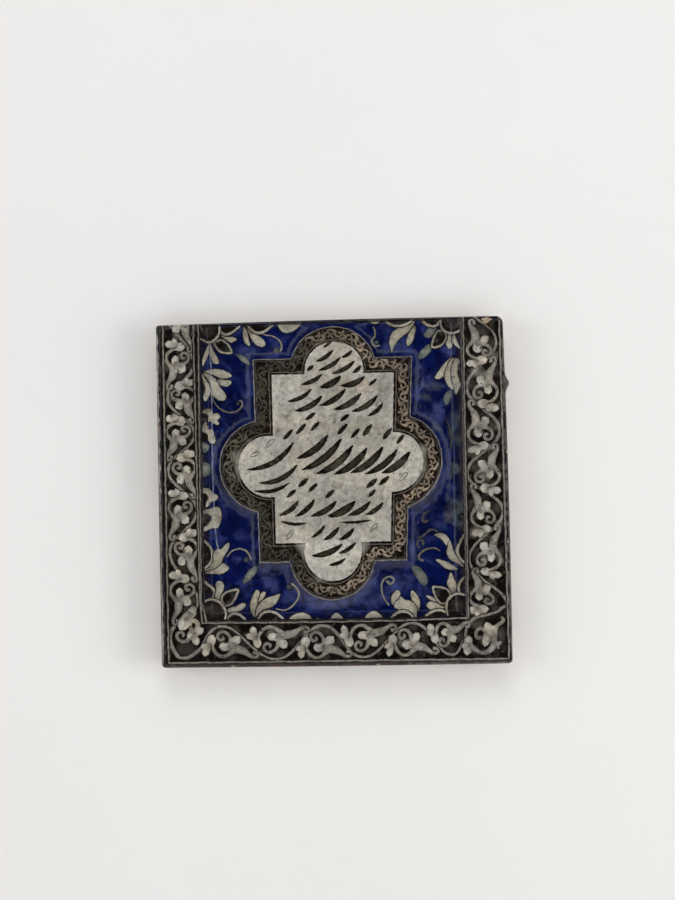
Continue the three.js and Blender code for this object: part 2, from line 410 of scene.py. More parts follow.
class Painting:
    """Painted shapes in the order in which they are laid on, in millimetres on the flat face."""

    def __init__(self):
        self.shapes = []
        self.cuts = []
        self.sunk = []

    def fill(self, loops, colour, strength=1.0, wash=0.0, fade=None, cobalt=0.0):
        """One shape with a crisp edge, which cuts the sheet, or a wash with an edge as soft as wash.

        fade is (from point, to point, colour there), and cobalt the share of cobalt in the colour.
        """
        loops = [uneven(np.asarray(loop)) for loop in (loops if isinstance(loops, list) else [loops])]
        self.shapes.append((loops, colour, strength, wash, fade, cobalt))
        if not wash:
            self.cuts += loops

    def stroke(self, points, colour, **options):
        self.fill(brush_stroke(points), colour, **options)

    def sink(self, loop, slope=0.28):
        """Lets a shape sink into the face, down a slope of that width inside its edge."""
        self.sunk.append((loop, slope))
        self.cuts.append(grown(loop, -slope))

    def sunk_share(self, points):
        """How far each point has sunk, as a share of the full depth."""
        result = np.zeros(len(points))
        for loop, slope in self.sunk:
            low, high = loop.min(0), loop.max(0)
            near = np.flatnonzero(np.all((points > low) & (points < high), axis=1))
            share = np.clip(depth_inside(points[near], [loop], slope) / slope, 0, 1)
            result[near] = np.maximum(result[near], share)
        return result

    def colours(self, places, faces):
        """Paint colour and share of cobalt at each corner of each triangle."""
        corners = places[faces]
        middles = corners.mean(axis=1)
        paint = np.zeros((len(faces), 3, 3))
        cobalt = np.zeros((len(faces), 3))
        for loops, colour, strength, wash, fade, blue in self.shapes:
            outline = np.vstack(loops)
            low, high = outline.min(0) - wash - 0.01, outline.max(0) + wash + 0.01
            x, z = middles[:, 0], middles[:, 1]
            near = np.flatnonzero((x >= low[0]) & (x <= high[0]) & (z >= low[1]) & (z <= high[1]))
            if wash:
                depth = depth_inside(corners[near].reshape(-1, 2), loops, wash).reshape(-1, 3)
                share = np.clip(0.5 + 0.5 * depth / wash, 0, 1) * strength
            else:
                near = near[within(middles[near], loops)]
                share = np.full((len(near), 3), strength)
            laid = np.broadcast_to(np.asarray(colour, float), (len(near), 3, 3))
            if fade:
                begin, end, far_colour = fade
                run = np.subtract(end, begin)
                u = np.clip((corners[near] - begin) @ run / (run @ run), 0, 1)[..., None]
                laid = laid * (1 - u) + np.asarray(far_colour) * u
            paint[near] = paint[near] * (1 - share[..., None]) + laid * share[..., None]
            cobalt[near] = cobalt[near] * (1 - share) + blue * share
        sides = corners[:, 1:] - corners[:, :1]
        area = np.abs(sides[:, 0, 0] * sides[:, 1, 1] - sides[:, 0, 1] * sides[:, 1, 0])
        weight = np.zeros(len(places))
        mixed = np.zeros((len(places), 3))
        for k in range(3):
            np.add.at(weight, faces[:, k], area)
            np.add.at(mixed, faces[:, k], paint[:, k] * area[:, None])
        mixed /= np.maximum(weight, 1e-12)[:, None]
        return paint + (mixed[faces] - paint) * BLEED, cobalt


def flat_sheet(outline, cuts, grid_step, seed):
    """Triangles of a flat sheet inside the outline, cut along every line of cuts."""
    points, edges = [], []

    def add(line, closed):
        first = len(points)
        points.extend(line)
        last = len(line) if closed else len(line) - 1
        edges.extend((first + i, first + (i + 1) % len(line)) for i in range(last))

    add(outline, True)
    for line, closed in cuts:
        add(line, closed)
    low, high = outline.min(0), outline.max(0)
    rng = np.random.default_rng(seed)
    across, up = np.meshgrid(np.arange(low[0], high[0], grid_step), np.arange(low[1], high[1], grid_step))
    grid = np.column_stack([across.ravel(), up.ravel()])
    grid += rng.uniform(-0.22, 0.22, grid.shape) * grid_step
    grid = grid[depth_inside(grid, [outline], grid_step) > 0.6 * grid_step]
    points.extend(grid)
    flat = [Vector((float(p[0]), float(p[1]))) for p in points]
    found = delaunay_2d_cdt(flat, edges, [], 0, 1e-4, False)
    places = np.array([v[:] for v in found[0]])
    faces = np.array(found[2])
    middle = places[faces].mean(axis=1)
    faces = faces[within(middle, [outline])]
    used, renumbered = np.unique(faces, return_inverse=True)
    return places[used], renumbered.reshape(faces.shape)


def boundary_loop(faces):
    """Vertices of the sheet's open edge, in order round it."""
    sides = np.vstack([faces[:, [0, 1]], faces[:, [1, 2]], faces[:, [2, 0]]])
    known = {(a, b) for a, b in sides.tolist()}
    follows = {a: b for a, b in known if (b, a) not in known}
    loop = [next(iter(follows))]
    while follows[loop[-1]] != loop[0]:
        loop.append(follows[loop[-1]])
    return np.array(loop)


def on_loop(points, loop):
    """Segment and share along it of the loop's nearest place to each point."""
    run = np.roll(loop, -1, 0) - loop
    offset = points[:, None, :] - loop
    u = np.clip(np.sum(offset * run, axis=2) / np.sum(run**2, axis=1), 0, 1)
    gap = np.linalg.norm(offset - run * u[..., None], axis=2)
    nearest = gap.argmin(axis=1)
    return nearest, u[np.arange(len(points)), nearest]


class NodeMaker:
    """Adds nodes to a tree from left to right and joins them up."""

    def __init__(self, tree):
        self.tree = tree
        self.column = 0

    def add(self, kind, inputs=None, **settings):
        node = self.tree.nodes.new(kind)
        node.location = (180 * (self.column % 9), -220 * (self.column // 9))
        self.column += 1
        for name, value in settings.items():
            setattr(node, name, value)
        for key, value in (inputs or {}).items():
            self.join(value, node.inputs[key])
        return node

    def out(self, kind, inputs=None, **settings):
        """First output of a new node."""
        return self.add(kind, inputs, **settings).outputs[0]

    def join(self, value, socket):
        if isinstance(value, bpy.types.NodeSocket):
            self.tree.links.new(value, socket)
        elif value is not None:
            socket.default_value = value

    def math(self, operation, a, b=None, c=None):
        return self.out("ShaderNodeMath", {0: a, 1: b, 2: c}, operation=operation)

    def times(self, a, b):
        return self.math("MULTIPLY", a, b)

    def minus(self, a, b):
        return self.math("SUBTRACT", a, b)

    def mix(self, share, a, b):
        """Colour a where the share is 0 and colour b where it is 1."""
        node = self.add("ShaderNodeMix", {"Factor": share}, data_type="RGBA")
        self.join(a, node.inputs[6])
        self.join(b, node.inputs[7])
        return node.outputs[2]

    def scaled(self, colour, tone):
        inputs = {0: colour, "Scale": tone}
        return self.out("ShaderNodeVectorMath", inputs, operation="SCALE")

    def noise(self, place, scale, detail=2.0, **more):
        """Value of soft noise; a seed makes it four-dimensional, so that another seed looks different."""
        settings = {"noise_dimensions": "4D"} if "W" in more else {}
        inputs = {"Vector": place, "Scale": scale, "Detail": detail} | more
        return self.out("ShaderNodeTexNoise", inputs, **settings)

    def span(self, value, low, high, to_low=0.0, to_high=1.0, smooth=False):
        kind = "SMOOTHSTEP" if smooth else "LINEAR"
        inputs = {"Value": value, "From Min": low, "From Max": high, "To Min": to_low, "To Max": to_high}
        return self.out("ShaderNodeMapRange", inputs, interpolation_type=kind)


def tint(name, description, default):
    return FloatVectorProperty(name=name, description=description, default=default, subtype="COLOR")


def measure(name, description, millimetres):
    return FloatProperty(name=name, description=description, default=millimetres * MM, unit="LENGTH")


def watts(name, description, default):
    return FloatProperty(name=name, description=description, default=default, unit="POWER")


def fresh_nodes(owner):
    """Empties the node tree of a material or world and returns what fills it again."""
    owner.use_nodes = True
    owner.node_tree.nodes.clear()
    return NodeMaker(owner.node_tree)


# Glaze colours, as linear values. Most names say what a painter of such tiles lays on; a few colours also
# paint highlights and reflections of the glaze.
class TileColours(bpy.types.PropertyGroup):
    cobalt: tint("Cobalt", "Deep blue ground of the sunk field", (0.0020, 0.0056, 0.056))
    # Thin cobalt: worn wash, and also painted reflection in patches beside the cartouche.
    cobalt_thin_and_sheen: tint("Thin Cobalt", "Cobalt where the wash is thin or worn", (0.028, 0.040, 0.15))
    cobalt_pooled: tint(
        "Pooled Cobalt", "Nearly black blue where the glaze has pooled", (0.0014, 0.0028, 0.020)
    )
    # Pale cobalt: worn wash, and also painted reflection along the foot of the field and beside the
    # cartouche.
    cobalt_pale_and_sheen: tint("Pale Cobalt", "Cobalt where most of the wash is gone", (0.062, 0.082, 0.24))
    panel_white: tint("Panel White", "White slip of the cartouche panel", (0.385, 0.37, 0.335))
    petal_white: tint("Petal White", "White of the flowers on the blue field", (0.36, 0.355, 0.31))
    # Painted highlight in warm cream, washed into the middle of each petal.
    petal_cream_highlight: tint("Petal Cream", "Warm cream in the middle of each petal", (0.47, 0.44, 0.33))
    petal_foot: tint(
        "Petal Foot", "Pinkish grey at the foot of each petal and in the rings", (0.17, 0.15, 0.13)
    )
    petal_shade: tint("Petal Shade", "Grey-green of small leaves and of worn flowers", (0.10, 0.125, 0.12))
    eye_brown: tint("Eye Brown", "Brownish black in the eyes of the corner flowers", (0.035, 0.026, 0.025))
    leaf_grey: tint("Leaf Grey", "Grey-white of the border's leaves", (0.215, 0.20, 0.178))
    # Painted highlight on the tips, middles and strokes of the border's leaves.
    leaf_highlight: tint(
        "Leaf Light", "Grey-white where the paint of the border's leaves is thickest", (0.62, 0.59, 0.53)
    )
    leaf_shade: tint("Leaf Shade", "Brownish grey at the foot of the border's leaves", (0.12, 0.108, 0.09))
    vine_grey: tint("Vine Grey", "Dimmer grey of the border's vine", (0.215, 0.20, 0.18))
    border_grey: tint("Border Grey", "Thin grey wash over the border's dark ground", (0.050, 0.046, 0.040))
    border_dark: tint("Border Dark", "Near-black ground of the border", (0.0055, 0.0045, 0.0038))
    frame_brown: tint("Frame Brown", "Dark brown ground of the cartouche's moulding", (0.010, 0.0055, 0.0035))
    scroll_beige: tint("Scroll Beige", "Running scroll on the cartouche's moulding", (0.27, 0.22, 0.17))
    scroll_grey: tint("Scroll Grey", "The same scroll where it has stayed grey-green", (0.056, 0.055, 0.044))
    line_pale: tint(
        "Pale Line", "Thin ruled lines beside the border and round the cartouche", (0.19, 0.175, 0.155)
    )
    ink: tint("Ink", "Dark brush strokes and outlines", (0.007, 0.0055, 0.0045))
    ink_thin: tint("Thin Ink", "Olive brown where the ink of a stroke is thin", (0.06, 0.052, 0.036))
    bare_clay: tint("Bare Clay", "Buff fired body where no glaze covers it", (0.50, 0.39, 0.27))
    grime: tint("Grime", "Brownish grey dirt and wear over the whole glaze", (0.075, 0.064, 0.052))
    smear_grey: tint("Smear Grey", "Green-grey of the worn smears over the border", (0.085, 0.088, 0.080))
    # Painted highlight: a pale line along the foot of the left bevel, where the glaze's hollow catches the
    # light.
    ridge_highlight: tint(
        "Ridge Highlight", "Pale line of thin glaze along the foot of the left bevel", (0.34, 0.37, 0.45)
    )
    arris_grey: tint(
        "Edge Grey", "Pale rough grey where the glaze has worn off the left edge", (0.26, 0.23, 0.215)
    )
    edge_brown: tint("Edge Brown", "Red-brown glaze that has run down the sides", (0.042, 0.013, 0.010))


class TileSizes(bpy.types.PropertyGroup):
    thickness: measure("Thickness", "Height of the border above the flat back", 20)
    field_floor: measure("Field Floor", "Height of the sunk field above the flat back", 17.4)
    bevel_width: measure("Bevel Width", "Width of the hollow slope from the border down to the field", 5.6)
    arris_width: measure("Arris Width", "Width of the rounded outer edge", 2.6)
    arris_drop: measure("Arris Drop", "How far the rounded outer edge falls", 2.4)
    glaze_ripple: measure("Glaze Ripple", "Depth of the soft waves in face and glaze", 0.16)
    ripple_size: measure("Ripple Size", "Width of one soft wave", 9)
    stroke_depth: measure("Stroke Depth", "How far the brush strokes of the panel sink into it", 0.03)
    back_unevenness: measure("Back Unevenness", "Depth of the hollows in the hand-smoothed back", 0.35)
    seed: IntProperty(name="Seed", description="Choice of every random variation", default=7, min=0)


def spine_of(loop):
    """Foot of a petal, which is its outline's first point, and its tip, which lies furthest off."""
    reach = np.linalg.norm(loop - loop[0], axis=1)
    return loop[0], loop[reach.argmax()]


def white_petal(paint, hue, points):
    """A petal drawn by its outline from its foot: creamy at the tip, greyer at the foot, with a painted
    highlight in warm cream in its middle.
    """
    loop = smooth_line(points, closed=True)
    foot, tip = spine_of(loop)
    paint.fill(grown(loop, 0.62), hue.ink)
    paint.fill(loop, hue.petal_white, fade=(tip, foot, hue.petal_foot))
    # Painted highlight in the petal's middle.
    paint.fill(loop + (loop.mean(axis=0) - loop) * 0.42, hue.petal_cream_highlight, strength=0.4, wash=0.8)


def cored_petal(paint, hue, points):
    """A petal with a pale rim and a dark core."""
    loop = smooth_line(points, closed=True)
    foot, tip = spine_of(loop)
    paint.fill(grown(loop, 0.62), hue.ink)
    paint.fill(loop, hue.petal_white, fade=(tip, foot, hue.petal_foot))
    core = grown(loop, -1.0)
    paint.fill(core, hue.ink)
    foot, tip = spine_of(core)
    middle = (foot + tip) / 2
    paint.fill(ellipse(middle + (tip - middle) * 0.3, 0.9, 1.3), hue.petal_shade, strength=0.5, wash=0.8)


def grey_leaf(paint, hue, points):
    """A small plain leaf, grey with a paler middle."""
    loop = smooth_line(points, closed=True)
    paint.fill(grown(loop, 0.45), hue.ink, strength=0.7)
    paint.fill(loop, hue.petal_shade, strength=0.85)
    paint.fill(loop + (loop.mean(axis=0) - loop) * 0.5, hue.petal_white, strength=0.4675, wash=1.0)


def pale_arc(paint, hue, points, half, outline=0.5):
    """A curved pale stroke with a dark outline, thickest in its middle."""
    swell = half * (0.62 + 0.38 * np.sin(np.linspace(0, np.pi, len(points))))
    line = [(x, z, h) for (x, z), h in zip(points, swell)]
    paint.stroke([(x, z, h + outline) for x, z, h in line], hue.ink)
    paint.stroke(line, hue.petal_foot, fade=(line[0][:2], line[-1][:2], hue.petal_white))


def crescent(paint, hue, points):
    """A pale crescent on the edge of the field, with a dark core between it and the edge."""
    paint.fill(smooth_line(points, closed=True), hue.ink)
    pale_arc(paint, hue, points, 0.78)


def scallop(paint, hue, points):
    """A pale arch that stands on the edge of the field, over a dark core."""
    core = smooth_line(points)
    paint.fill(np.vstack([core, core[:1]]), hue.ink)
    paint.fill(ellipse((core[0] + core[-1]) / 2, 1.8, 1.2), hue.frame_brown, wash=1.0)
    pale_arc(paint, hue, points, 0.74, outline=0.62)


def tendril(paint, hue, points, bud, half, dim):
    """A thin curling line, with a bud inside its curl."""
    line = [(x, z, half * share) for (x, z), share in zip(points, np.linspace(0.6, 1.25, len(points)))]
    paint.stroke([(x, z, h + 0.42) for x, z, h in line], hue.ink, strength=0.75)
    paint.stroke(line, hue.petal_white, strength=dim)
    if bud:
        x, z, radius = bud
        paint.fill(ellipse((x, z), radius + 0.45, radius + 0.45), hue.ink, strength=0.8)
        paint.fill(ellipse((x, z), radius, radius * 0.85, 20), hue.petal_shade, strength=dim)


def half_disc(paint, hue, points):
    """A solid pale half disc on the edge of the field."""
    loop = smooth_line(points)
    foot, crown = (loop[0] + loop[-1]) / 2, loop[len(loop) // 2]
    paint.fill(grown(loop, 0.6), hue.ink)
    paint.fill(loop, hue.petal_white, fade=(crown, foot, hue.petal_foot))


def rosette(paint, hue, centre, disc, corner, ring):
    """A corner flower's dark eye in its corner of the field, with the pale arc round it."""
    paint.fill(np.vstack([smooth_line(ring), [corner]]), hue.ink)
    paint.fill(ellipse(centre, disc, disc * 1.02), hue.ink)
    paint.fill(ellipse(centre, disc * 0.6, disc * 0.6), hue.eye_brown, strength=0.8, wash=1.6)
    pale_arc(paint, hue, ring, 0.72)


# Border vine from the head of the left band, along the foot, to the head of the right band.
VINE_LEFT = [
    (-95, 102.5), (-79.5, 76.4), (-95, 57.1), (-79.9, 35.8), (-95.5, 14.8), (-79.3, -8.7), (-95.4, -32.4),
    (-80.2, -57.4),
]
VINE_LEFT_CORNER = [
    (-84.5, -67.8), (-91.5, -73), (-96.3, -80.9), (-93.6, -90.4), (-88.4, -93.9), (-80.3, -89.9),
]
VINE_FOOT = [
    (-64.8, -76), (-35.2, -95.6), (-7.9, -76.7), (15.8, -95.4), (43.9, -76.2), (64.5, -94.5),
]
VINE_RIGHT_CORNER = [
    (73.5, -87.8), (76, -79.7), (80.7, -74), (89.5, -71.9), (95.8, -69),
]
VINE_RIGHT = [
    (97.9, -62.2), (78.1, -39.2), (98.2, -12.3), (77.9, 10.1), (97.2, 34.5), (78.7, 59.4), (96.1, 85),
    (82, 103),
]
VINE_HALF_WIDTH = 0.7
VINE_ROUNDNESS = 1.28

# Bays at the ends of the three runs: where each begins and ends, where its vine bulges, and its reach.
END_BAYS = [
    ((-88.0, 117.0), (-88.0, 89.6), VINE_LEFT[0], 9.2),
    ((-87.8, -44.9), (-86.6, -69.4), VINE_LEFT[-1], 9.2),
    ((-75.8, -84.0), (-50.0, -85.8), VINE_FOOT[0], 10.0),
    ((54.2, -85.4), (73.6, -84.6), VINE_FOOT[-1], 9.6),
    ((85.4, -71.8), (88.0, -50.7), VINE_RIGHT[0], 9.5),
]

# One bay of the border in shares: 0 to 1 along it, -1 to 1 across it with 1 where the vine bulges.
# Lobes are given by base, tip and width, and strokes by points with a half width.
CALYX_LOBES = [
    ((0.09, -0.45), (0.155, 0.34), 4.9),
    ((0.08, -0.22), (0.02, -0.92), 3.9),
    ((0.15, -0.20), (-0.08, -0.42), 3.3),
]
LEAF_LOBES = [
    ((0.68, -0.24), (0.33, -0.34), 5.0),
    ((0.54, -0.40), (0.76, 0.33), 5.1),
]
LEAF_STEM = [
    (0.12, -0.20, 1.4), (0.19, -0.50, 1), (0.27, -0.76, 0.75), (0.38, -0.89, 0.75), (0.49, -0.84, 0.85),
    (0.58, -0.66, 1.2), (0.68, -0.48, 1.6),
]
LEAF_TAIL = [
    (0.58, -0.42, 1.6), (0.72, -0.42, 2.2), (0.86, -0.50, 1.9), (0.97, -0.68, 1.3), (1.07, -0.83, 0.8),
    (1.16, -0.84, 0.6), (1.20, -0.70, 0.55), (1.16, -0.56, 0.7),
]
LEAF_SPIRAL = [
    (0.57, -0.22, 1.5), (0.56, 0.17, 1), (0.50, 0.44, 0.8), (0.40, 0.56, 0.7), (0.30, 0.47, 0.7),
    (0.27, 0.24, 0.7), (0.33, 0.06, 0.8), (0.41, 0.15, 0.7), (0.39, 0.28, 0.45),
]
LEAF_BALL = (1.11, -0.58, 1.25)
LEAF_CREASES = [
    [(0.29, -0.14, 0.4), (0.34, -0.46, 0.5), (0.43, -0.60, 0.45), (0.57, -0.54, 0.2)],
    [(0.42, -0.11, 0.3), (0.49, -0.06, 0.4), (0.53, -0.02, 0.15)],
    [(0.80, -0.16, 0.6), (0.73, -0.15, 0.4), (0.66, -0.20, 0.12)],
    [(0.17, -0.62, 0.2), (0.14, -0.34, 0.3), (0.11, -0.22, 0.1)],
]
GROUND_PATCHES = [
    (0.86, -0.02, 2.9), (0.62, 0.72, 2.6), (0.14, 0.74, 2.6), (1.02, 0.40, 2.2), (0.62, -0.95, 1.8),
]

# Foliage of the two foot corners, in millimetres.
CORNER_LOBES = [
    ((-81.6, -64), (-85.2, -71), 5), ((-84, -67.2), (-90.6, -77.6), 6.8),
    ((-86.4, -70), (-85.2, -77.4), 4.6), ((-82.6, -80.6), (-76.9, -76.9), 4.2),
    ((-83, -79.8), (-80.5, -86.6), 4.2), ((-82.6, -76), (-86.2, -82.6), 2.7),
    ((76.2, -91), (76.9, -84.2), 4.8), ((76.5, -88.4), (75.6, -95.6), 4.3),
    ((77.4, -89.6), (72.6, -90.4), 3.4), ((89.2, -79), (85.9, -90.6), 4.6),
    ((91.6, -88.6), (87.2, -76.6), 5), ((92.6, -85.6), (91.2, -78.4), 3.4),
]
CORNER_STROKES = [
    [(-87.6, -76.6, 1.2), (-84.8, -73.2, 1.1), (-81.9, -72.3, 1.3), (-80, -75, 1.4), (-81.4, -79.4, 1.3)],
    [(-84.4, -81.6, 1.1), (-86.4, -83.8, 1.1), (-89.4, -84.2, 1), (-91.9, -82.7, 0.9), (-92.3, -80.2, 0.9),
     (-90.4, -78.8, 0.8), (-88.4, -79.9, 0.9), (-88.9, -81.4, 0.6)],
    [(77.6, -89.4, 1.3), (80.9, -92.6, 1.1), (85, -94.4, 1), (89.1, -92.8, 1.5), (91.6, -89.3, 1.9), (91.5,
     -85.8, 1.6)],
    [(91, -83.5, 1.7), (93.4, -79, 1.2), (96.3, -76.8, 0.9), (97.4, -75.4, 0.8), (96.3, -74, 0.8)],
    [(87.6, -85.4, 1.3), (86.5, -82, 1.1), (84.4, -80, 1), (82, -81, 0.9), (81.1, -83.4, 0.9), (82, -85.8,
     0.9), (83.8, -85.2, 0.6)],
    [(94, -91.8, 0.5), (93.8, -89.6, 0.8), (95, -88.6, 1.1)],
]
CORNER_CREASES = [
    [(-87.6, -79, 0.5), (-85.4, -76.6, 0.6), (-83.4, -75.2, 0.4), (-82.8, -77.6, 0.2)],
    [(87.9, -90.9, 0.5), (89.6, -88.2, 0.4), (89.4, -85.4, 0.2)],
]

# Wear of the border: smears in three zones, given as span across, span up, how many and how broad,
# and dabs along the foot edge and the right edge.
SMEAR_ZONES = [
    ((-98, -81), (-97, 98), 26, 1.0), ((-78, 76), (-97, -78), 30, 1.0), ((79, 99), (-97, 98), 80, 1.5),
]
EDGE_DABS = 26

# Small chips along the outer edge that show the clay: centre and radii.
CHIPS = [
    ((-100.6, 40), (0.5, 1.6)), ((-100.4, -12), (0.4, 1)), ((-100.5, -66), (0.5, 1.2)),
    ((-60, -99.2), (1.2, 0.4)), ((24, -99.9), (1.6, 0.4)), ((90.6, 98.6), (2.9, 1.7)),
    ((101, -30), (0.4, 1.2)), ((101.3, 22), (0.4, 0.9)),
]

# Scroll on the cartouche's moulding, in shares of its bay like the border's.
SCROLL_SHARE = 0.45
SCROLL_BAYS = 70
SCROLL_SWING = 3.2
SCROLL_SPIRAL = [
    (0.76, -0.42, 0.75), (0.66, 0.06, 0.62), (0.48, 0.42, 0.5), (0.24, 0.34, 0.45), (0.16, -0.10, 0.45),
    (0.30, -0.42, 0.5), (0.44, -0.22, 0.42),
]
SCROLL_TAIL = [
    (0.60, -0.40, 0.7), (0.86, -0.62, 0.75), (1.12, -0.80, 0.45), (1.36, -0.66, 0.3), (1.34, -0.40, 0.35),
]
SCROLL_LOBES = [((0.10, 0.10), (-0.04, -0.92), 1.15), ((0.72, -0.30), (1.02, 0.30), 1.15)]
SCROLL_CREASE = [(0.36, -0.04, 0.12), (0.50, -0.26, 0.30), (0.66, -0.62, 0.14)]


def bay_frame(before, after, bulge, reach):
    """Returns what turns shares of a bay into places on the face."""
    before, after = np.asarray(before, float), np.asarray(after, float)
    along = after - before
    side = np.array([-along[1], along[0]]) / np.linalg.norm(along)
    if (np.asarray(bulge) - (before + after) / 2) @ side < 0:
        side = -side
    return lambda s, w: before + along * s + side * reach * w


def lay_foliage(paint, lobes, strokes, creases, pale, deep, ground, outline, lit=None):
    """Fleshy leaves: dark outlines first, then the pale shapes, then dark creases; lit, where given, paints
    highlights on the tips, middles and strokes.
    """
    shapes = [(base, tip, petal(base, tip, width, belly=0.6, blunt=0.62, foot=0.6))
              for base, tip, width in lobes]
    for points in strokes:
        paint.stroke([(x, z, half + outline) for x, z, half in points], ground)
    for base, tip, loop in shapes:
        paint.fill(grown(loop, outline), ground)
    for points in strokes:
        paint.stroke(points, pale, fade=(points[0][:2], points[-1][:2], np.asarray(pale) * 0.8))
        # Painted highlight along the middle of each stroke.
        if lit is not None:
            paint.stroke([(x, z, half * 0.45) for x, z, half in points], lit, strength=0.28, wash=0.6)
    for base, tip, loop in shapes:
        # With lit given, each lobe fades from a painted highlight at its tip to deep at its base, and gets a
        # painted highlight in its middle.
        bright = pale if lit is None else np.asarray(lit) * 0.72
        paint.fill(loop, bright, fade=(tip, base, deep))
        if lit is not None:
            middle = np.asarray(base) * 0.15 + np.asarray(tip) * 0.85
            paint.fill(middle + (loop - middle) * 0.5, lit, strength=0.4, wash=0.9)
    for points in creases:
        paint.stroke(points, ground, strength=0.85)


def border_bay(paint, hue, before, after, bulge, reach, rng):
    """The calyx and the leaf in one bay of the vine."""
    shares = bay_frame(before, after, bulge, reach)
    grow, nudge = rng.uniform(0.96, 1.04), rng.uniform(-0.02, 0.02, 2)

    def place(s, w):
        return tuple(shares(s + nudge[0], w * grow + nudge[1]))

    def line(points):
        return [(*place(s, w), half * rng.uniform(0.9, 1.16)) for s, w, half in points]

    lobes = []
    for base, (s, w), width in LEAF_LOBES + CALYX_LOBES:
        shift = rng.uniform(-0.03, 0.03, 2)
        lobes.append((place(*base), place(s + shift[0], w + shift[1]), width * rng.uniform(0.92, 1.14)))
    s, w, radius = LEAF_BALL
    ball = [(*place(s, w), radius), (*place(s + 0.01, w + 0.02), radius)]
    strokes = [line(LEAF_STEM), line(LEAF_TAIL), line(LEAF_SPIRAL), ball]
    creases = [line(points) for points in LEAF_CREASES]
    body = np.asarray(hue.leaf_grey) * rng.uniform(0.78, 1.08)
    # The leaves get painted highlights on their tips, middles and strokes.
    lay_foliage(paint, lobes, strokes, creases, body, body * 0.7, hue.border_dark, 0.6, hue.leaf_highlight)


def ruled_line(paint, corners, half, colour, strength=1.0):
    """A thin ruled line through corners, with the slight drift of a hand."""
    path = hand_drift(straight_line(corners, step=1.5), 0.1)
    left = side_normals(path, False) * half
    paint.fill(np.vstack([path + left, (path - left)[::-1]]), colour, strength=strength)


def worn_arris(paint, hue, rng):
    """The rounded outer edge: pale and rough at the left, brown and chipped elsewhere."""
    left = [slab_corner("left", "head", 0.7, 8), slab_corner("left", "foot", 0.7, 6)]
    for z in np.arange(left[1][1], left[0][1], 4.6):
        reach = rng.uniform(2.0, 5.2)
        x = left[0][0] + rng.uniform(-0.35, 0.35)
        dab = [(x, z - reach, 0.2), (x + 0.1, z, rng.uniform(0.35, 0.85)), (x, z + reach, 0.2)]
        paint.stroke(dab, hue.arris_grey, strength=rng.uniform(0.5, 1.0))
    foot = [slab_corner("left", "foot", 6, 0.8), slab_corner("right", "foot", 6, 0.8)]
    right = [slab_corner("right", "foot", 0.8, 8), slab_corner("right", "head", 0.8, 12)]
    for begin, end in (foot, right):
        for u in (np.arange(EDGE_DABS) + rng.uniform(0, 1, EDGE_DABS)) / EDGE_DABS:
            x, z = begin + (end - begin) * u
            a, b = (end - begin) / np.linalg.norm(end - begin) * rng.uniform(1.0, 3.6)
            dab = [(x - a, z - b, 0.3), (x, z, rng.uniform(0.5, 1.1)), (x + a, z + b, 0.3)]
            rim = hue.edge_brown if z < -90 and x < 40 else hue.smear_grey
            paint.stroke(dab, rim, strength=rng.uniform(0.6, 1.0))
    for z in np.arange(right[0][1], right[1][1], 5.3):
        dab = [(right[0][0] + 0.3, z - 3, 0.3), (right[0][0] + 0.4, z, 0.8), (right[0][0] + 0.3, z + 3, 0.3)]
        paint.stroke(dab, hue.smear_grey, strength=rng.uniform(0.4, 0.9), wash=0.5)
    paint.fill(ellipse((102.4, LUMP_LEVEL), 2.8, 5.6), hue.smear_grey, strength=0.9, wash=1.0)
    for centre, radii in CHIPS:
        loop = blotch(centre, radii, 0, rng, step=0.8)
        paint.fill(grown(loop, 0.4), hue.edge_brown, strength=0.8)
        paint.fill(loop, hue.bare_clay, strength=0.75)


def worn_border(paint, hue, rng):
    """Grey and dark smears over the border, more of them at its right side, which is worn most."""
    for across, up, count, broad in SMEAR_ZONES:
        for _ in range(count):
            centre = (rng.uniform(*across), rng.uniform(*up))
            radii = (rng.uniform(0.9, 3.0) * broad, rng.uniform(0.6, 1.5) * broad)
            loop = blotch(centre, radii, rng.uniform(0, 180), rng)
            colour = (hue.smear_grey, hue.border_dark, hue.leaf_grey)[rng.integers(3)]
            paint.fill(loop, colour, strength=rng.uniform(0.2, 0.55), wash=1.1)


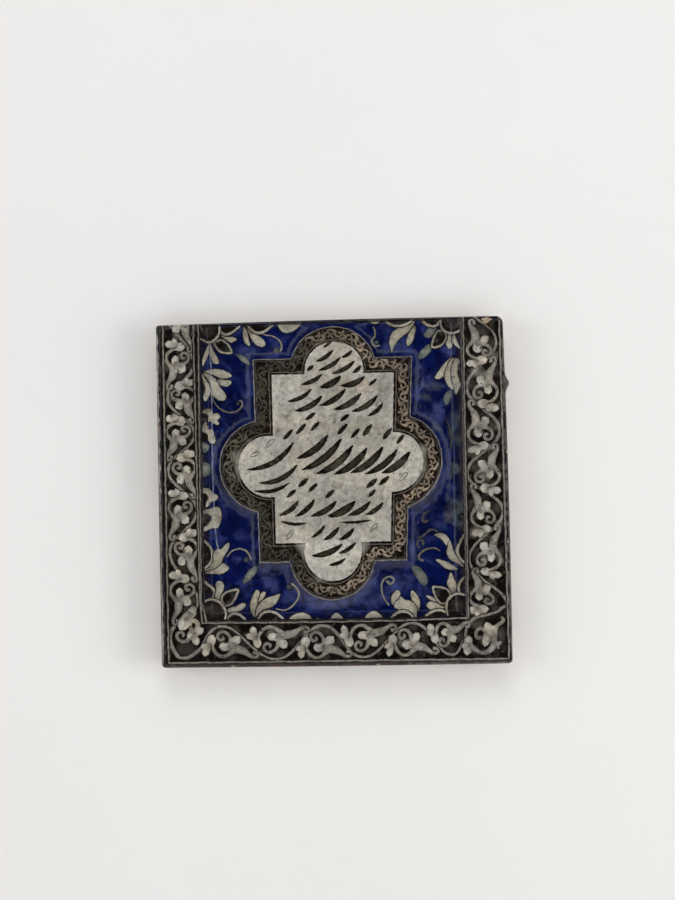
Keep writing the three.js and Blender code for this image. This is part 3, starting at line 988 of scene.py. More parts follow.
def border(paint, hue, rng):
    """Ruled lines, vine and leaves of the border, which runs down, along the foot and up again."""
    bays = []
    for bulges, reach in ((VINE_LEFT, 9.2), (VINE_FOOT, 10.0), (VINE_RIGHT, 9.5)):
        given = np.array(bulges)
        crossings = (given[:-1] + given[1:]) / 2
        bays += [(crossings[i - 1], crossings[i], given[i], reach) for i in range(1, len(given) - 1)]
    bays += END_BAYS
    for before, after, bulge, reach in bays:
        shares = bay_frame(before, after, bulge, reach)
        for s, w, radius in GROUND_PATCHES:
            across, up = radius * rng.uniform(0.7, 1.2), radius * rng.uniform(0.7, 1.3)
            paint.fill(ellipse(shares(s, w), across, up, step=1.6), hue.border_grey,
                       strength=rng.uniform(0.25, 0.95), wash=1.3)
    for centre, radii in (((-87, -88.6), (5.6, 3.6)), ((96, -84), (2.2, 5)), ((83, -77), (3, 2))):
        paint.fill(ellipse(centre, *radii, step=1.6), hue.border_grey, strength=0.75, wash=1.3)
    whole = VINE_LEFT + VINE_LEFT_CORNER + VINE_FOOT + VINE_RIGHT_CORNER + VINE_RIGHT
    halves = VINE_HALF_WIDTH * rng.uniform(0.85, 1.25, len(whole))
    halves[len(VINE_LEFT):len(VINE_LEFT) + len(VINE_LEFT_CORNER)] *= 1.3
    vine = smooth_line(np.column_stack([whole, halves]), pull=VINE_ROUNDNESS)
    for extra, colour, strength in ((0.45, hue.border_dark, 0.9), (0.0, hue.vine_grey, 0.95)):
        left = side_normals(vine[:, :2], False) * (vine[:, 2:] + extra)
        paint.fill(np.vstack([vine[:, :2] + left, (vine[:, :2] - left)[::-1]]), colour, strength=strength)
    for bay in bays:
        border_bay(paint, hue, *bay, rng)
    # The corner leaves get painted highlights on their tips, middles and strokes.
    lay_foliage(paint, CORNER_LOBES, CORNER_STROKES, CORNER_CREASES, hue.leaf_grey, hue.leaf_shade,
                hue.border_dark, 0.6, hue.leaf_highlight)

    worn_border(paint, hue, rng)
    top = HALF_HEIGHT + PAST_HEAD
    outer = [slab_corner("left", "head", 4.2, -PAST_HEAD), slab_corner("left", "foot", 4.2, 3.0),
             slab_corner("right", "foot", 2.2, 3.0), slab_corner("right", "head", 2.2, -PAST_HEAD)]
    inner = [(-79.4, top), (-78.5, -62.0), (-77.5, -73.8), (-21.0, -74.5), (37.5, -74.7), (77.0, -73.9),
             (77.3, top)]
    for corners, half in ((outer, 0.45), (inner, 0.38)):
        ruled_line(paint, corners, half + 0.75, hue.border_dark)
        ruled_line(paint, corners, half, hue.line_pale)
    ruled_line(paint, [(-76.4, top), (-77.8, -61.5), (-74.9, -73.6)], 0.36, hue.line_pale, 0.85)
    # Painted highlight along the foot of the left bevel, where the glaze's hollow catches the light.
    bevel_foot = [(-69.9, 88), (-69.5, 56), (-69.9, 12), (-69.2, -18), (-67.6, -32)]
    ruled_line(paint, bevel_foot, 0.36, hue.ridge_highlight, 0.5)
    ruled_line(paint, [(75.9, top), (75.9, -75.6)], 0.3, hue.line_pale, 0.3)
    worn_arris(paint, hue, rng)


def cartouche_scroll(paint, hue, rng):
    """The running scroll on the cartouche's moulding, and the ruled lines beside it."""
    ring = cartouche_loop(SCROLL_SHARE, step=0.4)
    length = np.append(0, np.cumsum(np.linalg.norm(np.roll(ring, -1, 0) - ring, axis=1)))
    closed = np.vstack([ring, ring[:1]])
    stations = np.arange(SCROLL_BAYS) / SCROLL_BAYS * length[-1]
    at = np.column_stack([np.interp(stations, length, closed[:, k]) for k in (0, 1)])
    ahead = np.roll(at, -1, 0) - np.roll(at, 1, 0)
    outward = np.column_stack([ahead[:, 1], -ahead[:, 0]]) / np.linalg.norm(ahead, axis=1)[:, None]
    swing = SCROLL_SWING * np.where(np.arange(SCROLL_BAYS) % 2, 1, -1) * rng.uniform(0.92, 1.08, SCROLL_BAYS)
    crests = at + outward * swing[:, None]
    halves = rng.uniform(0.2, 0.34, SCROLL_BAYS)
    scroll = smooth_line(np.column_stack([crests, halves]), closed=True, step=1.1, pull=1.3)
    left = side_normals(scroll[:, :2], True) * scroll[:, 2:]
    paint.fill([scroll[:, :2] + left, scroll[:, :2] - left], hue.scroll_grey)
    for i in range(SCROLL_BAYS):
        before, after = (at[i - 1] + at[i]) / 2, (at[i] + at[(i + 1) % SCROLL_BAYS]) / 2
        shares = bay_frame(before, after, crests[i], abs(swing[i]))
        spiral, tail, crease = ([(*shares(s, w), half * rng.uniform(0.88, 1.15)) for s, w, half in points]
                                for points in (SCROLL_SPIRAL, SCROLL_TAIL, SCROLL_CREASE))
        lobes = [(shares(*base), shares(*tip), width * rng.uniform(0.85, 1.2))
                 for base, tip, width in SCROLL_LOBES]
        greyer = min(max((8.0 - at[i, 0]) / 30.0, 0.0), 1.0)
        pale = np.asarray(hue.scroll_beige) * (1 - greyer) + np.asarray(hue.scroll_grey) * greyer
        # Painted highlight: round the left lobe, the scroll is made up to nearly twice as bright, where the
        # moulding's left slope catches the light.
        lit = 1.0 + 0.9 * math.exp(-((at[i, 1] - 16.0) / 16.0) ** 2) * (at[i, 0] < -44.0)
        pale = pale * rng.uniform(0.7, 1.35) * lit
        lay_foliage(paint, lobes, [tail, spiral], [crease], pale, pale * 0.6, hue.frame_brown, outline=0.36)
    for outer, inner, colour, strength in (
        (-0.03, 0.03, hue.line_pale, 1.0),
        (0.03, 0.10, hue.frame_brown, 0.9),
        (0.84, 0.90, hue.line_pale, 0.55),
        (0.95, 1.02, hue.ink, 0.8),
    ):
        loops = [hand_drift(cartouche_loop(share, step=1.4), 0.08) for share in (outer, inner)]
        paint.fill(loops, colour, strength=strength)


def outlines(*rows):
    """Outlines from rows that hold across and up in turn, in millimetres."""
    return [np.reshape(row, (-1, 2)) for row in rows]


# Flowers of the blue field. A petal is drawn round from its foot.
WHITE_PETALS = outlines(
    # Foot left corner.
    (-69, -60.6, -70.1, -58.8, -69.1, -54.8, -69.4, -51.9, -68.2, -49.9, -65.8, -50.2, -64.7, -52.5, -65.2,
     -55.4, -66.6, -58.3, -67.5, -60.6),
    (-63.6, -66.8, -60.6, -65.4, -57.7, -64.8, -55.4, -63.4, -53.3, -62.8, -51.9, -63.8, -53.4, -65.7,
     -55.4, -67.1, -58.9, -67.7, -62.4, -68.1),
    # Half lotus on the foot, left.
    (-47.4, -70.9, -49.1, -67.9, -49.6, -65, -49, -61.6, -47.6, -58.1, -45.9, -55.5, -44.3, -56, -44,
     -58.2, -44.7, -61.1, -45.6, -64, -46.6, -67.4),
    (-44.9, -62.8, -44.1, -59.6, -43, -57.2, -41.2, -56.5, -40.5, -57.8, -42, -60.4, -43.6, -62.3),
    (-46.5, -70.9, -46, -66.8, -44.7, -64, -42.6, -61.8, -39.6, -60.1, -36.1, -59.2, -32.1, -58, -32.9,
     -60.7, -34.7, -63.4, -37.4, -65.4, -40.9, -66.4, -43.9, -67.9),
    # Half lotus on the left edge, lower.
    (-75.9, -43.6, -72.3, -41.1, -70.5, -37.6, -70.3, -33.6, -68.4, -31.5, -65.7, -31.2, -64, -29.5, -61.4,
     -27.4, -61.2, -30, -62.5, -32.9, -64.6, -35.9, -65.6, -38.6, -67.7, -41.5, -71.2, -43),
    (-75.3, -44.8, -70.6, -43.3, -67.6, -41.7, -65, -39.5, -62.9, -40.7, -61.5, -42.6, -63.7, -44.6, -66.6,
     -45.7, -70.1, -45.5),
    # Daisies on the left edge.
    (-75.2, 48, -74.3, 49.5, -72.2, 50.3, -69.9, 49.5, -68.8, 47.4, -66.9, 48, -65.2, 46.5, -65, 44.9,
     -66.9, 43.8, -65.6, 42, -66.4, 40.9, -68.7, 41.9, -70.3, 43.3, -71.7, 42.8, -71.9, 45.1, -71.5, 46.9,
     -73, 48.1),
    (-75.4, 37.3, -74.6, 41.5, -72.7, 42.9, -72.4, 40.4, -72.4, 37.9, -70.6, 38.5, -68.8, 37, -68.6, 34.5,
     -67.7, 32.1, -68.7, 30.3, -70.9, 30.6, -72.1, 32.3, -72, 35, -73.2, 36.6),
    (-76.1, 3.8, -73.3, 4.5, -70.9, 2.8, -69.9, 0.9, -67.8, 0.5, -67, -1.5, -68.7, -3, -71, -3.5, -72.2,
     -5.3, -73.8, -6.7, -74, -4.2, -72.5, -1.9, -73.1, 0.4, -75.4, 1.3),
    (-75.2, -8.4, -71.8, -7.7, -69.3, -6.8, -66.3, -7.2, -65.4, -10.2, -65.5, -13.7, -66.5, -17.1, -67.8,
     -19, -71.3, -19.2, -75.2, -20.6, -75.2, -18.1, -72.8, -17, -71, -14.3, -70.7, -11.4, -72.9, -10.2,
     -75.2, -10.6),
    # Half lotus on the left edge, upper.
    (-74.1, 71.6, -69.5, 73.3, -64.8, 73.2, -60.8, 71.9, -57.6, 69.4, -60.3, 68.1, -63.8, 68, -66.6, 69.2,
     -70.1, 70.8),
    (-66.3, 67.4, -63.8, 67.1, -60.9, 66.8, -58, 66.1, -59.2, 63.7, -61.5, 63.2, -64.4, 64.2, -66, 65.5),
    (-74.4, 71.3, -70.1, 70, -67.2, 67.8, -65.6, 65.5, -65, 63.1, -62.7, 60.5, -61.2, 57.9, -61.8, 55.5,
     -64.6, 55.1, -67.5, 56.9, -69.7, 58.9, -70, 62.4, -70.6, 66.1, -72.3, 68.8),
    (-74.7, 70.6, -72.5, 67.1, -70.6, 63.6, -70, 60.1, -71.4, 56.9, -73.3, 54.7, -74.2, 57.7, -73, 60.7,
     -73.2, 64.1, -74.3, 67.6),
    # Head left corner.
    (-63.8, 92.7, -60.4, 91.9, -56.9, 91.8, -54.3, 90.5, -57.3, 88.7, -59.8, 89.9),
    (-70.1, 88.5, -70.1, 84.8, -71.4, 81.3, -72.8, 78.1, -74.3, 75.3, -74.4, 78.8, -73, 82.8, -71.5, 86.2),
    (-69.5, 88.5, -68.5, 84.7, -66.8, 81.8, -64.9, 77.1, -67.8, 76.9, -69.2, 80.4, -69.9, 84.5),
    # Half lotus on the head, left.
    (-50.1, 97.7, -48.7, 96.2, -47.8, 93.3, -47.5, 89.8, -46.7, 86.6, -48.9, 87.6, -50.1, 89.9, -50.5,
     93.9),
    (-48.4, 97.7, -45.8, 95.1, -43.4, 93, -40.7, 91.5, -38.2, 89, -38, 86.8, -40.2, 85.9, -43.1, 87.1,
     -45.3, 89.7, -47, 93.3),
    # Half lotus on the head, right.
    (49.1, 99.8, 47.9, 95.4, 45.4, 92.6, 42.5, 90.8, 40.3, 88.9, 38.3, 86.8, 36.7, 84.1, 35.7, 81.2, 34.6,
     84.7, 34.5, 88.2, 35.5, 91.6, 38.3, 94.3, 41.8, 96.3, 45.6, 98.4),
    (49.6, 96.3, 46.7, 93.3, 45.1, 90.3, 44.3, 87.4, 45.1, 84.7, 47.2, 86.5, 48.6, 89.6),
    # Head right corner.
    (68.6, 91.5, 67.4, 88.4, 67.5, 85.2, 68.8, 82.3, 70.6, 84, 70.6, 87.4, 69.9, 90.6),
    (71.9, 91.2, 70.6, 87.4, 72.3, 84.5, 75.2, 82.4, 73.4, 86.8),
    # Half lotus on the right edge, upper.
    (69.9, 77.3, 66.9, 74.9, 64.5, 72, 62.3, 69, 60.5, 65.6, 63.2, 65.2, 65.8, 67.4, 67.3, 70.7, 69, 74.4),
    (71.6, 77.4, 68.8, 74.7, 67.3, 71.3, 66.1, 67.8, 66.6, 64.1, 68.4, 60.6, 71, 59, 70.9, 63.7, 70, 67.7,
     69.9, 72.4),
    (72.7, 77, 75, 75.2, 73.4, 72.1, 73.3, 68.8, 74.1, 65.3, 75.1, 61.2, 73.7, 58.4, 72.3, 55.7, 71.4,
     59.6, 70.4, 64.2, 70, 69.5, 70.8, 73.8),
    # Half lotus on the right edge, lower.
    (58.1, -25.4, 61.4, -24.4, 64.9, -25.6, 66.9, -28.5, 66, -32.1, 64.2, -30.3, 62.5, -28, 60.2, -26.5),
    (75, -44.3, 70.9, -42.1, 66.9, -39.7, 65.3, -36, 66, -32.5, 67.1, -28.8, 68.4, -32.6, 69.5, -36.1,
     71.7, -39.6),
    (71.4, -46, 67.4, -45.9, 64.5, -44.9, 61.6, -42.5, 59, -39.9, 62.9, -40.4, 66.3, -42, 69.2, -43.6),
    # Foot right corner.
    (68, -60.4, 66, -56.5, 65.1, -53.4, 66.1, -50.5, 67.4, -47.3, 69.1, -51.2, 70.3, -54.7, 69.9, -57.6),
    (64.1, -66.7, 60.6, -66.1, 57.7, -64.3, 54.9, -62.8, 52.8, -60.6, 55.8, -61.3, 58.5, -63.4, 61.2,
     -65.5),
    (64, -67.9, 60, -68.7, 56.5, -69.1, 53.6, -67.5, 53.1, -65.5, 55.4, -64.1, 58.3, -65, 61.2, -66.7),
    # Half lotus on the foot, right.
    (36.8, -67.9, 33.3, -65.5, 32.4, -61.7, 33.6, -59.2, 36.1, -57.2, 37.7, -58.7, 37.4, -61.6, 38, -64.5),
    (47.9, -69.3, 46.4, -65.8, 45, -63.5, 43.9, -61.1, 44.4, -57.5, 46.4, -58.8, 48.4, -61.8, 49.2, -65.3),
    (46.2, -73.3, 43.7, -70.4, 40.2, -68.8, 36.8, -68.5, 34.2, -67, 34.9, -64.1, 36.8, -62.7, 38.1, -60.8,
     40.2, -62.8, 42.7, -63.3, 45.1, -64.6, 46.8, -67, 47.2, -70.1),
)

CORED_PETALS = outlines(
    # Foot left corner.
    (-64.4, -64.7, -66.4, -61.8, -66.4, -58.9, -64.5, -56.6, -61, -55.1, -56, -54.5, -56.7, -57.9, -58.5,
     -61.4, -60.6, -63.8),
    # Head left corner.
    (-68, 88.8, -65.6, 90.3, -63.3, 90.8, -61, 89.6, -58.7, 87.3, -57.2, 84.3, -56.9, 82.2, -60.6, 82.2,
     -64, 82.9, -66.3, 85.2),
    # Head right corner.
    (66.1, 93, 62.8, 93.6, 60.7, 91.1, 59.2, 87.7, 58.7, 83.4, 61.9, 83.2, 65, 84.5, 67.4, 87.5, 67.8,
     90.4),
    # Foot right corner.
    (65.8, -65, 67.3, -60.7, 66, -57.5, 63.7, -56.1, 60.8, -55.4, 56.5, -55.4, 57.1, -59.6, 58.7, -63.3,
     61.2, -65.8, 63.7, -65.9),
)

CRESCENTS = outlines(
    # Left edge.
    (-75.5, -25.9, -72.7, -29.2, -71.2, -32.1, -70.9, -35.6, -71.9, -38.7, -74.1, -41.2, -77, -43),
    (-77.1, -48.2, -74.3, -51.2, -72, -53.2, -70.3, -55.3, -70.4, -58.2, -71.6, -60.5),
    # Right edge.
    (75.6, -25.2, 72.7, -30.4, 71.4, -34.4, 72.3, -38.5, 75.3, -42),
    (75.4, -49.8, 72.6, -53, 71.6, -56.4, 72.5, -60.5),
)

GREY_LEAVES = outlines(
    (-53.4, -51.6, -52.8, -48.7, -50.9, -45.3, -48.6, -42.9, -45.7, -41.5, -45.4, -44.2, -46.8, -46.7,
     -49.3, -49.4),
    (-54.8, 81.8, -51.9, 81.4, -49.4, 79.8, -47.7, 77.6, -46.6, 75.3, -49.7, 76.6, -52, 78.1),
    (62.3, 94.6, 58, 94.9, 55.6, 93, 54.5, 90.3, 56.7, 89.1, 59.3, 90.1, 61, 92.3),
    (51.2, 77.4, 51.9, 80.9, 54.3, 83.2, 56.7, 85.1, 59, 84.8, 58.5, 81.9, 56.1, 78.9, 53.2, 77.2),
    (44.8, -43.3, 48.3, -43.6, 51.3, -46.2, 53.4, -49.7, 53.9, -52.6, 52.3, -54.8, 49.8, -53.3, 47.5,
     -50.2, 45.7, -46.9),
    (-75.2, 30.6, -73.2, 30.6, -71.5, 28.8, -72.6, 25.9, -74.9, 24.8),
    (-75.8, 18.9, -72, 18.6, -71, 16, -72, 12.1, -75.9, 11.5),
    (69.2, 58.5, 66, 56.2, 65.1, 53.3, 66.9, 49.8, 69, 52.7, 69.8, 55.6),
)

# Open lines: the rings of the corner flowers, then what stands on the edges of the field.
RINGS = outlines(
    (-77.4, -62.7, -75.1, -61, -72.7, -60.3, -70.4, -60.6, -68.1, -61.6, -66.1, -63.5, -64.5, -66.1, -63.8,
     -69, -64.5, -72.9),
    (-75.5, 91, -73.8, 90.3, -71.7, 89.3, -69.7, 89.1, -67.4, 90.3, -65.3, 92.4, -64.3, 95.4, -64.3, 99.4),
    (64.1, 102.1, 64.2, 99.2, 64.4, 96.3, 65.5, 93.9, 67.8, 92.1, 70.4, 91.5, 73.3, 92, 76.6, 94),
    (65.5, -74.3, 64.6, -69.9, 64.4, -66.7, 65, -63.9, 67.1, -61.6, 69.4, -60.2, 72.3, -59.9, 75.8, -60.9),
)

SCALLOPS = outlines(
    (-63.7, -72.9, -62.2, -70.6, -60.5, -69.2, -58.4, -68.7, -56.1, -69.5, -53.8, -71.1, -51.5, -73.7),
    (-46, -74.4, -44.8, -71.8, -43.1, -69.5, -41, -68.3, -38.1, -68, -35.2, -68.8, -32.7, -70.4, -29.5,
     -73.3),
    (-64, 97.7, -63.5, 95.1, -61.8, 93.6, -59.2, 93.5, -56.3, 95, -52.4, 98),
    (-48.1, 98.5, -46.4, 96.6, -44.7, 95.1, -42.6, 94.1, -40, 94, -37.1, 95.4, -33.3, 98.2),
    (52.4, 101.7, 53.7, 99.7, 55.2, 97.6, 57.5, 96.3, 60.4, 95.8, 62.7, 96.9, 64.2, 100.3),
    (30.3, 101.6, 32.6, 99.2, 35.2, 97.4, 38.3, 96.4, 42.4, 96.7, 45.9, 98.1, 49.5, 101.2),
    (49.7, -75.1, 51.8, -72.9, 53.9, -71.2, 56.5, -69.8, 59.4, -69.1, 62.3, -69.6, 64.8, -71.4),
    (30.8, -74.5, 32.6, -72.5, 35.3, -70.5, 38.2, -69.5, 41.4, -69.9, 43.8, -71.5, 45.6, -74.5),
)

HALF_DISCS = outlines(
    (-30.6, 99.3, -29.5, 96.4, -27.6, 94.3, -25, 93.7, -21.5, 94.7, -18.5, 96.8, -15.5, 100.2),
    (19.9, 102.4, 21.6, 100, 23.9, 98.5, 26.2, 97.9, 28.5, 98.6, 30.6, 101.6),
    (-28.3, -73.9, -25.9, -71.2, -23, -69.6, -19.5, -69.2, -16.1, -70.1, -12.7, -73.9),
)

# Dark eyes of the corner flowers: centre, radius and corner of the field.
EYES = [((-70.5, -66.9), 5.8, (-77.0, -75.0)), ((-70.8, 95.4), 5.4, (-77.0, 103.0)),
        ((70.8, 98.4), 6.0, (77.0, 106.0)), ((71.4, -66.3), 5.4, (77.0, -77.0))]
# Low half discs along the foot of the field: from, to and rise.
FOOT_DISCS = [(-4.0, 5.4, 4.6), (15.4, 28.8, 5.2), (-12.6, -8.4, 2.0)]

# Dark eyes of the daisies: centre and radii.
DAISY_EYES = [
    ((-74.6, 45.7), 2.2, 2.4), ((-74.4, 34.1), 2.4, 2.5), ((-74.8, -1.3), 1.7, 2.9),
    ((-73.8, -13.2), 1.9, 2.8),
]

# Tendrils as points, then bud, half width and strength.
TENDRILS = [
    ([(-34.6, -66.5), (-32.2, -67.2), (-29.3, -67.4), (-26.4, -66.1), (-23.5, -63.5), (-21.4, -60.1),
     (-21.3, -56.9), (-23.3, -53.7), (-25.3, -52.2)], (-26.5, -54.2, 1.6), 0.5, 0.6),
    ([(-62.4, -35.8), (-60.6, -33.5), (-58.2, -31.8), (-54.7, -31.3), (-51.8, -32.2), (-49.6, -34.6),
     (-48.5, -37.8)], (-51.4, -37.7, 1.6), 0.5, 0.5),
    ([(-69.5, 58.4), (-68.1, 54.3), (-65.3, 50.7), (-61.8, 48.6), (-58.4, 48), (-54.9, 48.8),
     (-52.2, 51.3), (-51.9, 53.9), (-53.3, 54.8)], (-54.4, 53.2, 1), 0.45, 0.4),
    ([(-39.5, 93.1), (-36.6, 92.5), (-33.1, 91.8), (-30.2, 90), (-28.6, 87.7), (-28.3, 84.8),
     (-29.2, 83.1)], (-31.5, 83.7, 1.6), 0.42, 0.55),
    ([(25.2, 96), (26.2, 93.4), (25.6, 90.2), (24, 87.8), (25.6, 85), (28.4, 85.2)], (26.9, 87.2, 1.3),
     0.5, 0.5),
    ([(61.2, -34.8), (58.9, -33.3), (55.5, -33.2), (52, -34.3), (49.3, -36.9), (49.2, -39.2),
     (51.3, -40.1)], None, 0.6, 0.35),
    ([(31, -65.5), (28.8, -62.5), (27.4, -59), (26.9, -55), (27.8, -51.5), (30.2, -49.5), (32.5, -49.3),
     (34.2, -50.8), (33.6, -52.8), (31.6, -53.3), (30.4, -51.8)], None, 0.6, 0.55),
    ([(61, -25), (58.8, -22.6), (55.4, -22.8), (52.4, -25.2), (49.4, -27.2)], None, 0.6, 0.16),
    ([(49.8, -33), (48, -30.6), (49.2, -28.4), (51.4, -28.6), (51.6, -30.8)], None, 0.6, 0.2),
    ([(55.4, -11.6), (53.2, -12.6), (51.4, -15.4), (52.2, -17.6), (54.4, -17.2)], None, 0.7, 0.14),
    ([(66.6, 42), (68.4, 35), (69.2, 28), (68.8, 24)], None, 0.36, 0.16),
    ([(68.6, 17), (68.8, 12), (68.4, 7)], None, 0.36, 0.12),
]

# Worn and thin places in the glaze, and painted reflections: the pale and thin cobalt patches beside the
# cartouche and along the foot of the field stand for the room mirrored in the glaze's slopes. Each gives
# centre, radii, turn, colour and strength.
THIN_AND_SHEEN, PALE_AND_SHEEN = "cobalt_thin_and_sheen", "cobalt_pale_and_sheen"
SHADE, FOOT, WHITE = "petal_shade", "petal_foot", "petal_white"
WORN_PLACES = [
    ((51.7, 70.4), (3.6, 4.6), 0, THIN_AND_SHEEN, 0.9), ((49.8, 58.8), (2.8, 7), -8, THIN_AND_SHEEN, 0.8),
    ((61.7, 45.3), (3.8, 6.4), -12, PALE_AND_SHEEN, 0.9), ((54, 44.6), (3.4, 2), 0, THIN_AND_SHEEN, 0.8),
    ((58, 66), (4, 3), 20, THIN_AND_SHEEN, 0.6), ((60.4, 60.9), (5.6, 2.6), -4, SHADE, 0.55),
    ((54.4, 61.4), (2.2, 0.9), -25, WHITE, 0.7), ((55, 54.4), (3.4, 2.6), -10, SHADE, 0.6),
    ((60.9, 36.6), (3, 2.4), 20, SHADE, 0.5), ((71.6, 40.6), (2.6, 6.4), -16, SHADE, 0.6),
    ((72.4, 30.6), (2.4, 5), 22, SHADE, 0.55), ((68.6, 35.4), (1.4, 7), 6, SHADE, 0.45),
    ((72, 13.2), (2.3, 3.3), 0, SHADE, 0.75), ((63.4, 16), (1, 8), 0, PALE_AND_SHEEN, 0.8),
    ((67.6, 9), (1.3, 9), 0, THIN_AND_SHEEN, 0.8), ((67.8, 2.2), (1.5, 2.6), 8, SHADE, 0.5),
    ((66.6, -3.8), (1.6, 3.2), 8, SHADE, 0.5), ((71.6, -9.6), (4.2, 6.4), 0, SHADE, 0.7),
    ((66.3, -14.6), (2.6, 5.4), 0, FOOT, 0.6), ((72, -18.2), (4.4, 3), 0, SHADE, 0.6),
    ((53.2, -9.6), (3.4, 6), -30, THIN_AND_SHEEN, 0.8), ((61.5, -19.7), (3.6, 3.2), 0, THIN_AND_SHEEN, 1),
    ((45, -33.3), (2.6, 4.4), 0, PALE_AND_SHEEN, 0.8), ((56.7, -28.3), (3.2, 2.4), 20, THIN_AND_SHEEN, 0.9),
    ((50.6, -30), (4, 4), 0, THIN_AND_SHEEN, 0.6), ((52.3, -15.4), (1.2, 2), 10, SHADE, 0.35),
    ((-27.5, -61.4), (4, 5), 20, THIN_AND_SHEEN, 0.9), ((-54.6, -24.9), (4.6, 2.6), 0, THIN_AND_SHEEN, 0.8),
    ((-56, -37.8), (2.6, 2), 0, PALE_AND_SHEEN, 0.8), ((68.8, 81.4), (4, 3.4), 0, PALE_AND_SHEEN, 0.75),
    ((-62, 86.6), (3.4, 2.6), 0, THIN_AND_SHEEN, 0.8), ((-53.6, 83), (4.2, 2), 0, THIN_AND_SHEEN, 0.8),
    ((38.6, 90), (3.4, 6.4), 10, THIN_AND_SHEEN, 0.8), ((44.8, 86), (2.6, 6.4), 14, THIN_AND_SHEEN, 0.8),
    ((-34.6, 97.4), (3, 1.6), 0, THIN_AND_SHEEN, 0.9), ((52.8, -60.2), (2.4, 7), 4, THIN_AND_SHEEN, 0.7),
    ((47.4, -47), (2, 6), 30, THIN_AND_SHEEN, 0.6), ((-52, -57), (2.4, 3.4), 0, THIN_AND_SHEEN, 0.7),
    ((40.6, -58.4), (1.6, 3), 0, THIN_AND_SHEEN, 0.8), ((-68.6, 26), (1.6, 4.4), 0, THIN_AND_SHEEN, 0.7),
    # Painted reflections: pale cobalt along the foot of the field below the cartouche, beside its left side
    # and over its shoulders at the head.
    ((6, -62), (34, 7), 3, PALE_AND_SHEEN, 0.45), ((-38, -50), (4.6, 8), 12, PALE_AND_SHEEN, 0.75),
    ((-9, -64.8), (15, 2.4), 2, PALE_AND_SHEEN, 0.75), ((22, -62), (9, 3), 24, PALE_AND_SHEEN, 0.6),
    ((37, -52), (8, 4.6), 20, PALE_AND_SHEEN, 0.75), ((-47, 70), (3, 9), -4, THIN_AND_SHEEN, 0.8),
    ((-32, 84), (3, 9), -38, THIN_AND_SHEEN, 0.9), ((-47.4, 84), (9, 2.4), 0, PALE_AND_SHEEN, 0.5),
    ((-64, -6), (2, 9), 6, THIN_AND_SHEEN, 0.8), ((62, 50), (5, 3), 30, PALE_AND_SHEEN, 0.6),
    ((38, 84), (9, 2.6), 0, PALE_AND_SHEEN, 0.6),
]


def blotch(centre, radii, turn, rng, step=1.8):
    """An irregular patch, such as worn glaze leaves."""
    loop = ellipse((0, 0), *radii, turn, step)
    angle = np.linspace(0, 2 * np.pi, len(loop), endpoint=False)
    waves = sum(rng.uniform(0.08, 0.2) * np.sin(n * angle + rng.uniform(0, 6.3)) for n in (2, 3, 5, 7))
    return np.asarray(centre) + loop * (1 + waves)[:, None]


def ragged_band(paint, colour, points, width, rough, rng, strength, cobalt):
    """A band along a line of points, with a ragged edge on the side away from the border."""
    path = straight_line(points, step=2.2)
    away = side_normals(path, False)
    ragged = path + away * (width + rng.uniform(-rough, rough, len(path)))[:, None]
    paint.fill(np.vstack([path - away, ragged[::-1]]), colour, strength=strength, wash=0.8, cobalt=cobalt)


def field_flowers(paint, hue, rng):
    """Flowers, leaves and tendrils of the sunk field, over its worn and thin places and its painted
    reflections.
    """
    ragged_band(paint, hue.ink, [(-75.6, 104), (-75.6, -74)], 2.5, 0.9, rng, 0.85, 0.1)
    ragged_band(paint, hue.cobalt_pooled, [(75.4, -74), (75.4, 104)], 5.0, 1.6, rng, 0.75, 0.4)
    ragged_band(paint, hue.eye_brown, [(75.4, -74), (75.4, 104)], 1.2, 0.5, rng, 0.85, 0.1)
    ragged_band(paint, hue.cobalt_pooled, [(-76, -73.2), (76, -73.6)], 2.6, 1.0, rng, 0.8, 0.4)
    for centre, radii, turn, colour, strength in WORN_PLACES:
        blue = 1.0 if colour.startswith("cobalt") else 0.5
        for grow, share in ((1.0, 0.45), (0.62, 0.4)):
            moved = np.asarray(centre) + rng.uniform(-0.25, 0.25, 2) * radii
            loop = blotch(moved, np.asarray(radii) * grow, turn, rng)
            paint.fill(loop, getattr(hue, colour), strength=strength * share, wash=0.5, cobalt=blue)
    for points, bud, half, dim in TENDRILS:
        tendril(paint, hue, points, bud, half, dim)
    for shape, places in ((grey_leaf, GREY_LEAVES), (crescent, CRESCENTS), (white_petal, WHITE_PETALS),
                          (cored_petal, CORED_PETALS)):
        for points in places:
            shape(paint, hue, points)
    for centre, across, up in DAISY_EYES:
        paint.fill(ellipse(centre, across, up), hue.ink)
    for points in HALF_DISCS:
        half_disc(paint, hue, points)
    for left, right, rise in FOOT_DISCS:
        middle = (left + right) / 2
        half_disc(paint, hue, [
            (left, -74.4), ((left + middle) / 2, -74.4 + rise * 0.75), (middle, -74.2 + rise),
            ((right + middle) / 2, -74.4 + rise * 0.72), (right, -74.6),
        ])
    for points in SCALLOPS:
        scallop(paint, hue, points)
    for (centre, disc, corner), ring in zip(EYES, RINGS):
        rosette(paint, hue, centre, disc, corner, ring)
    for centre, radii in (((70.4, -8.9), (1.7, 1.8)), ((73.8, -15.3), (2.2, 2.4))):
        paint.fill(ellipse(centre, *radii), hue.ink, strength=0.85)
        paint.fill(ellipse(centre, radii[0] * 0.4, radii[1] * 0.4), hue.petal_shade, strength=0.5, wash=0.3)


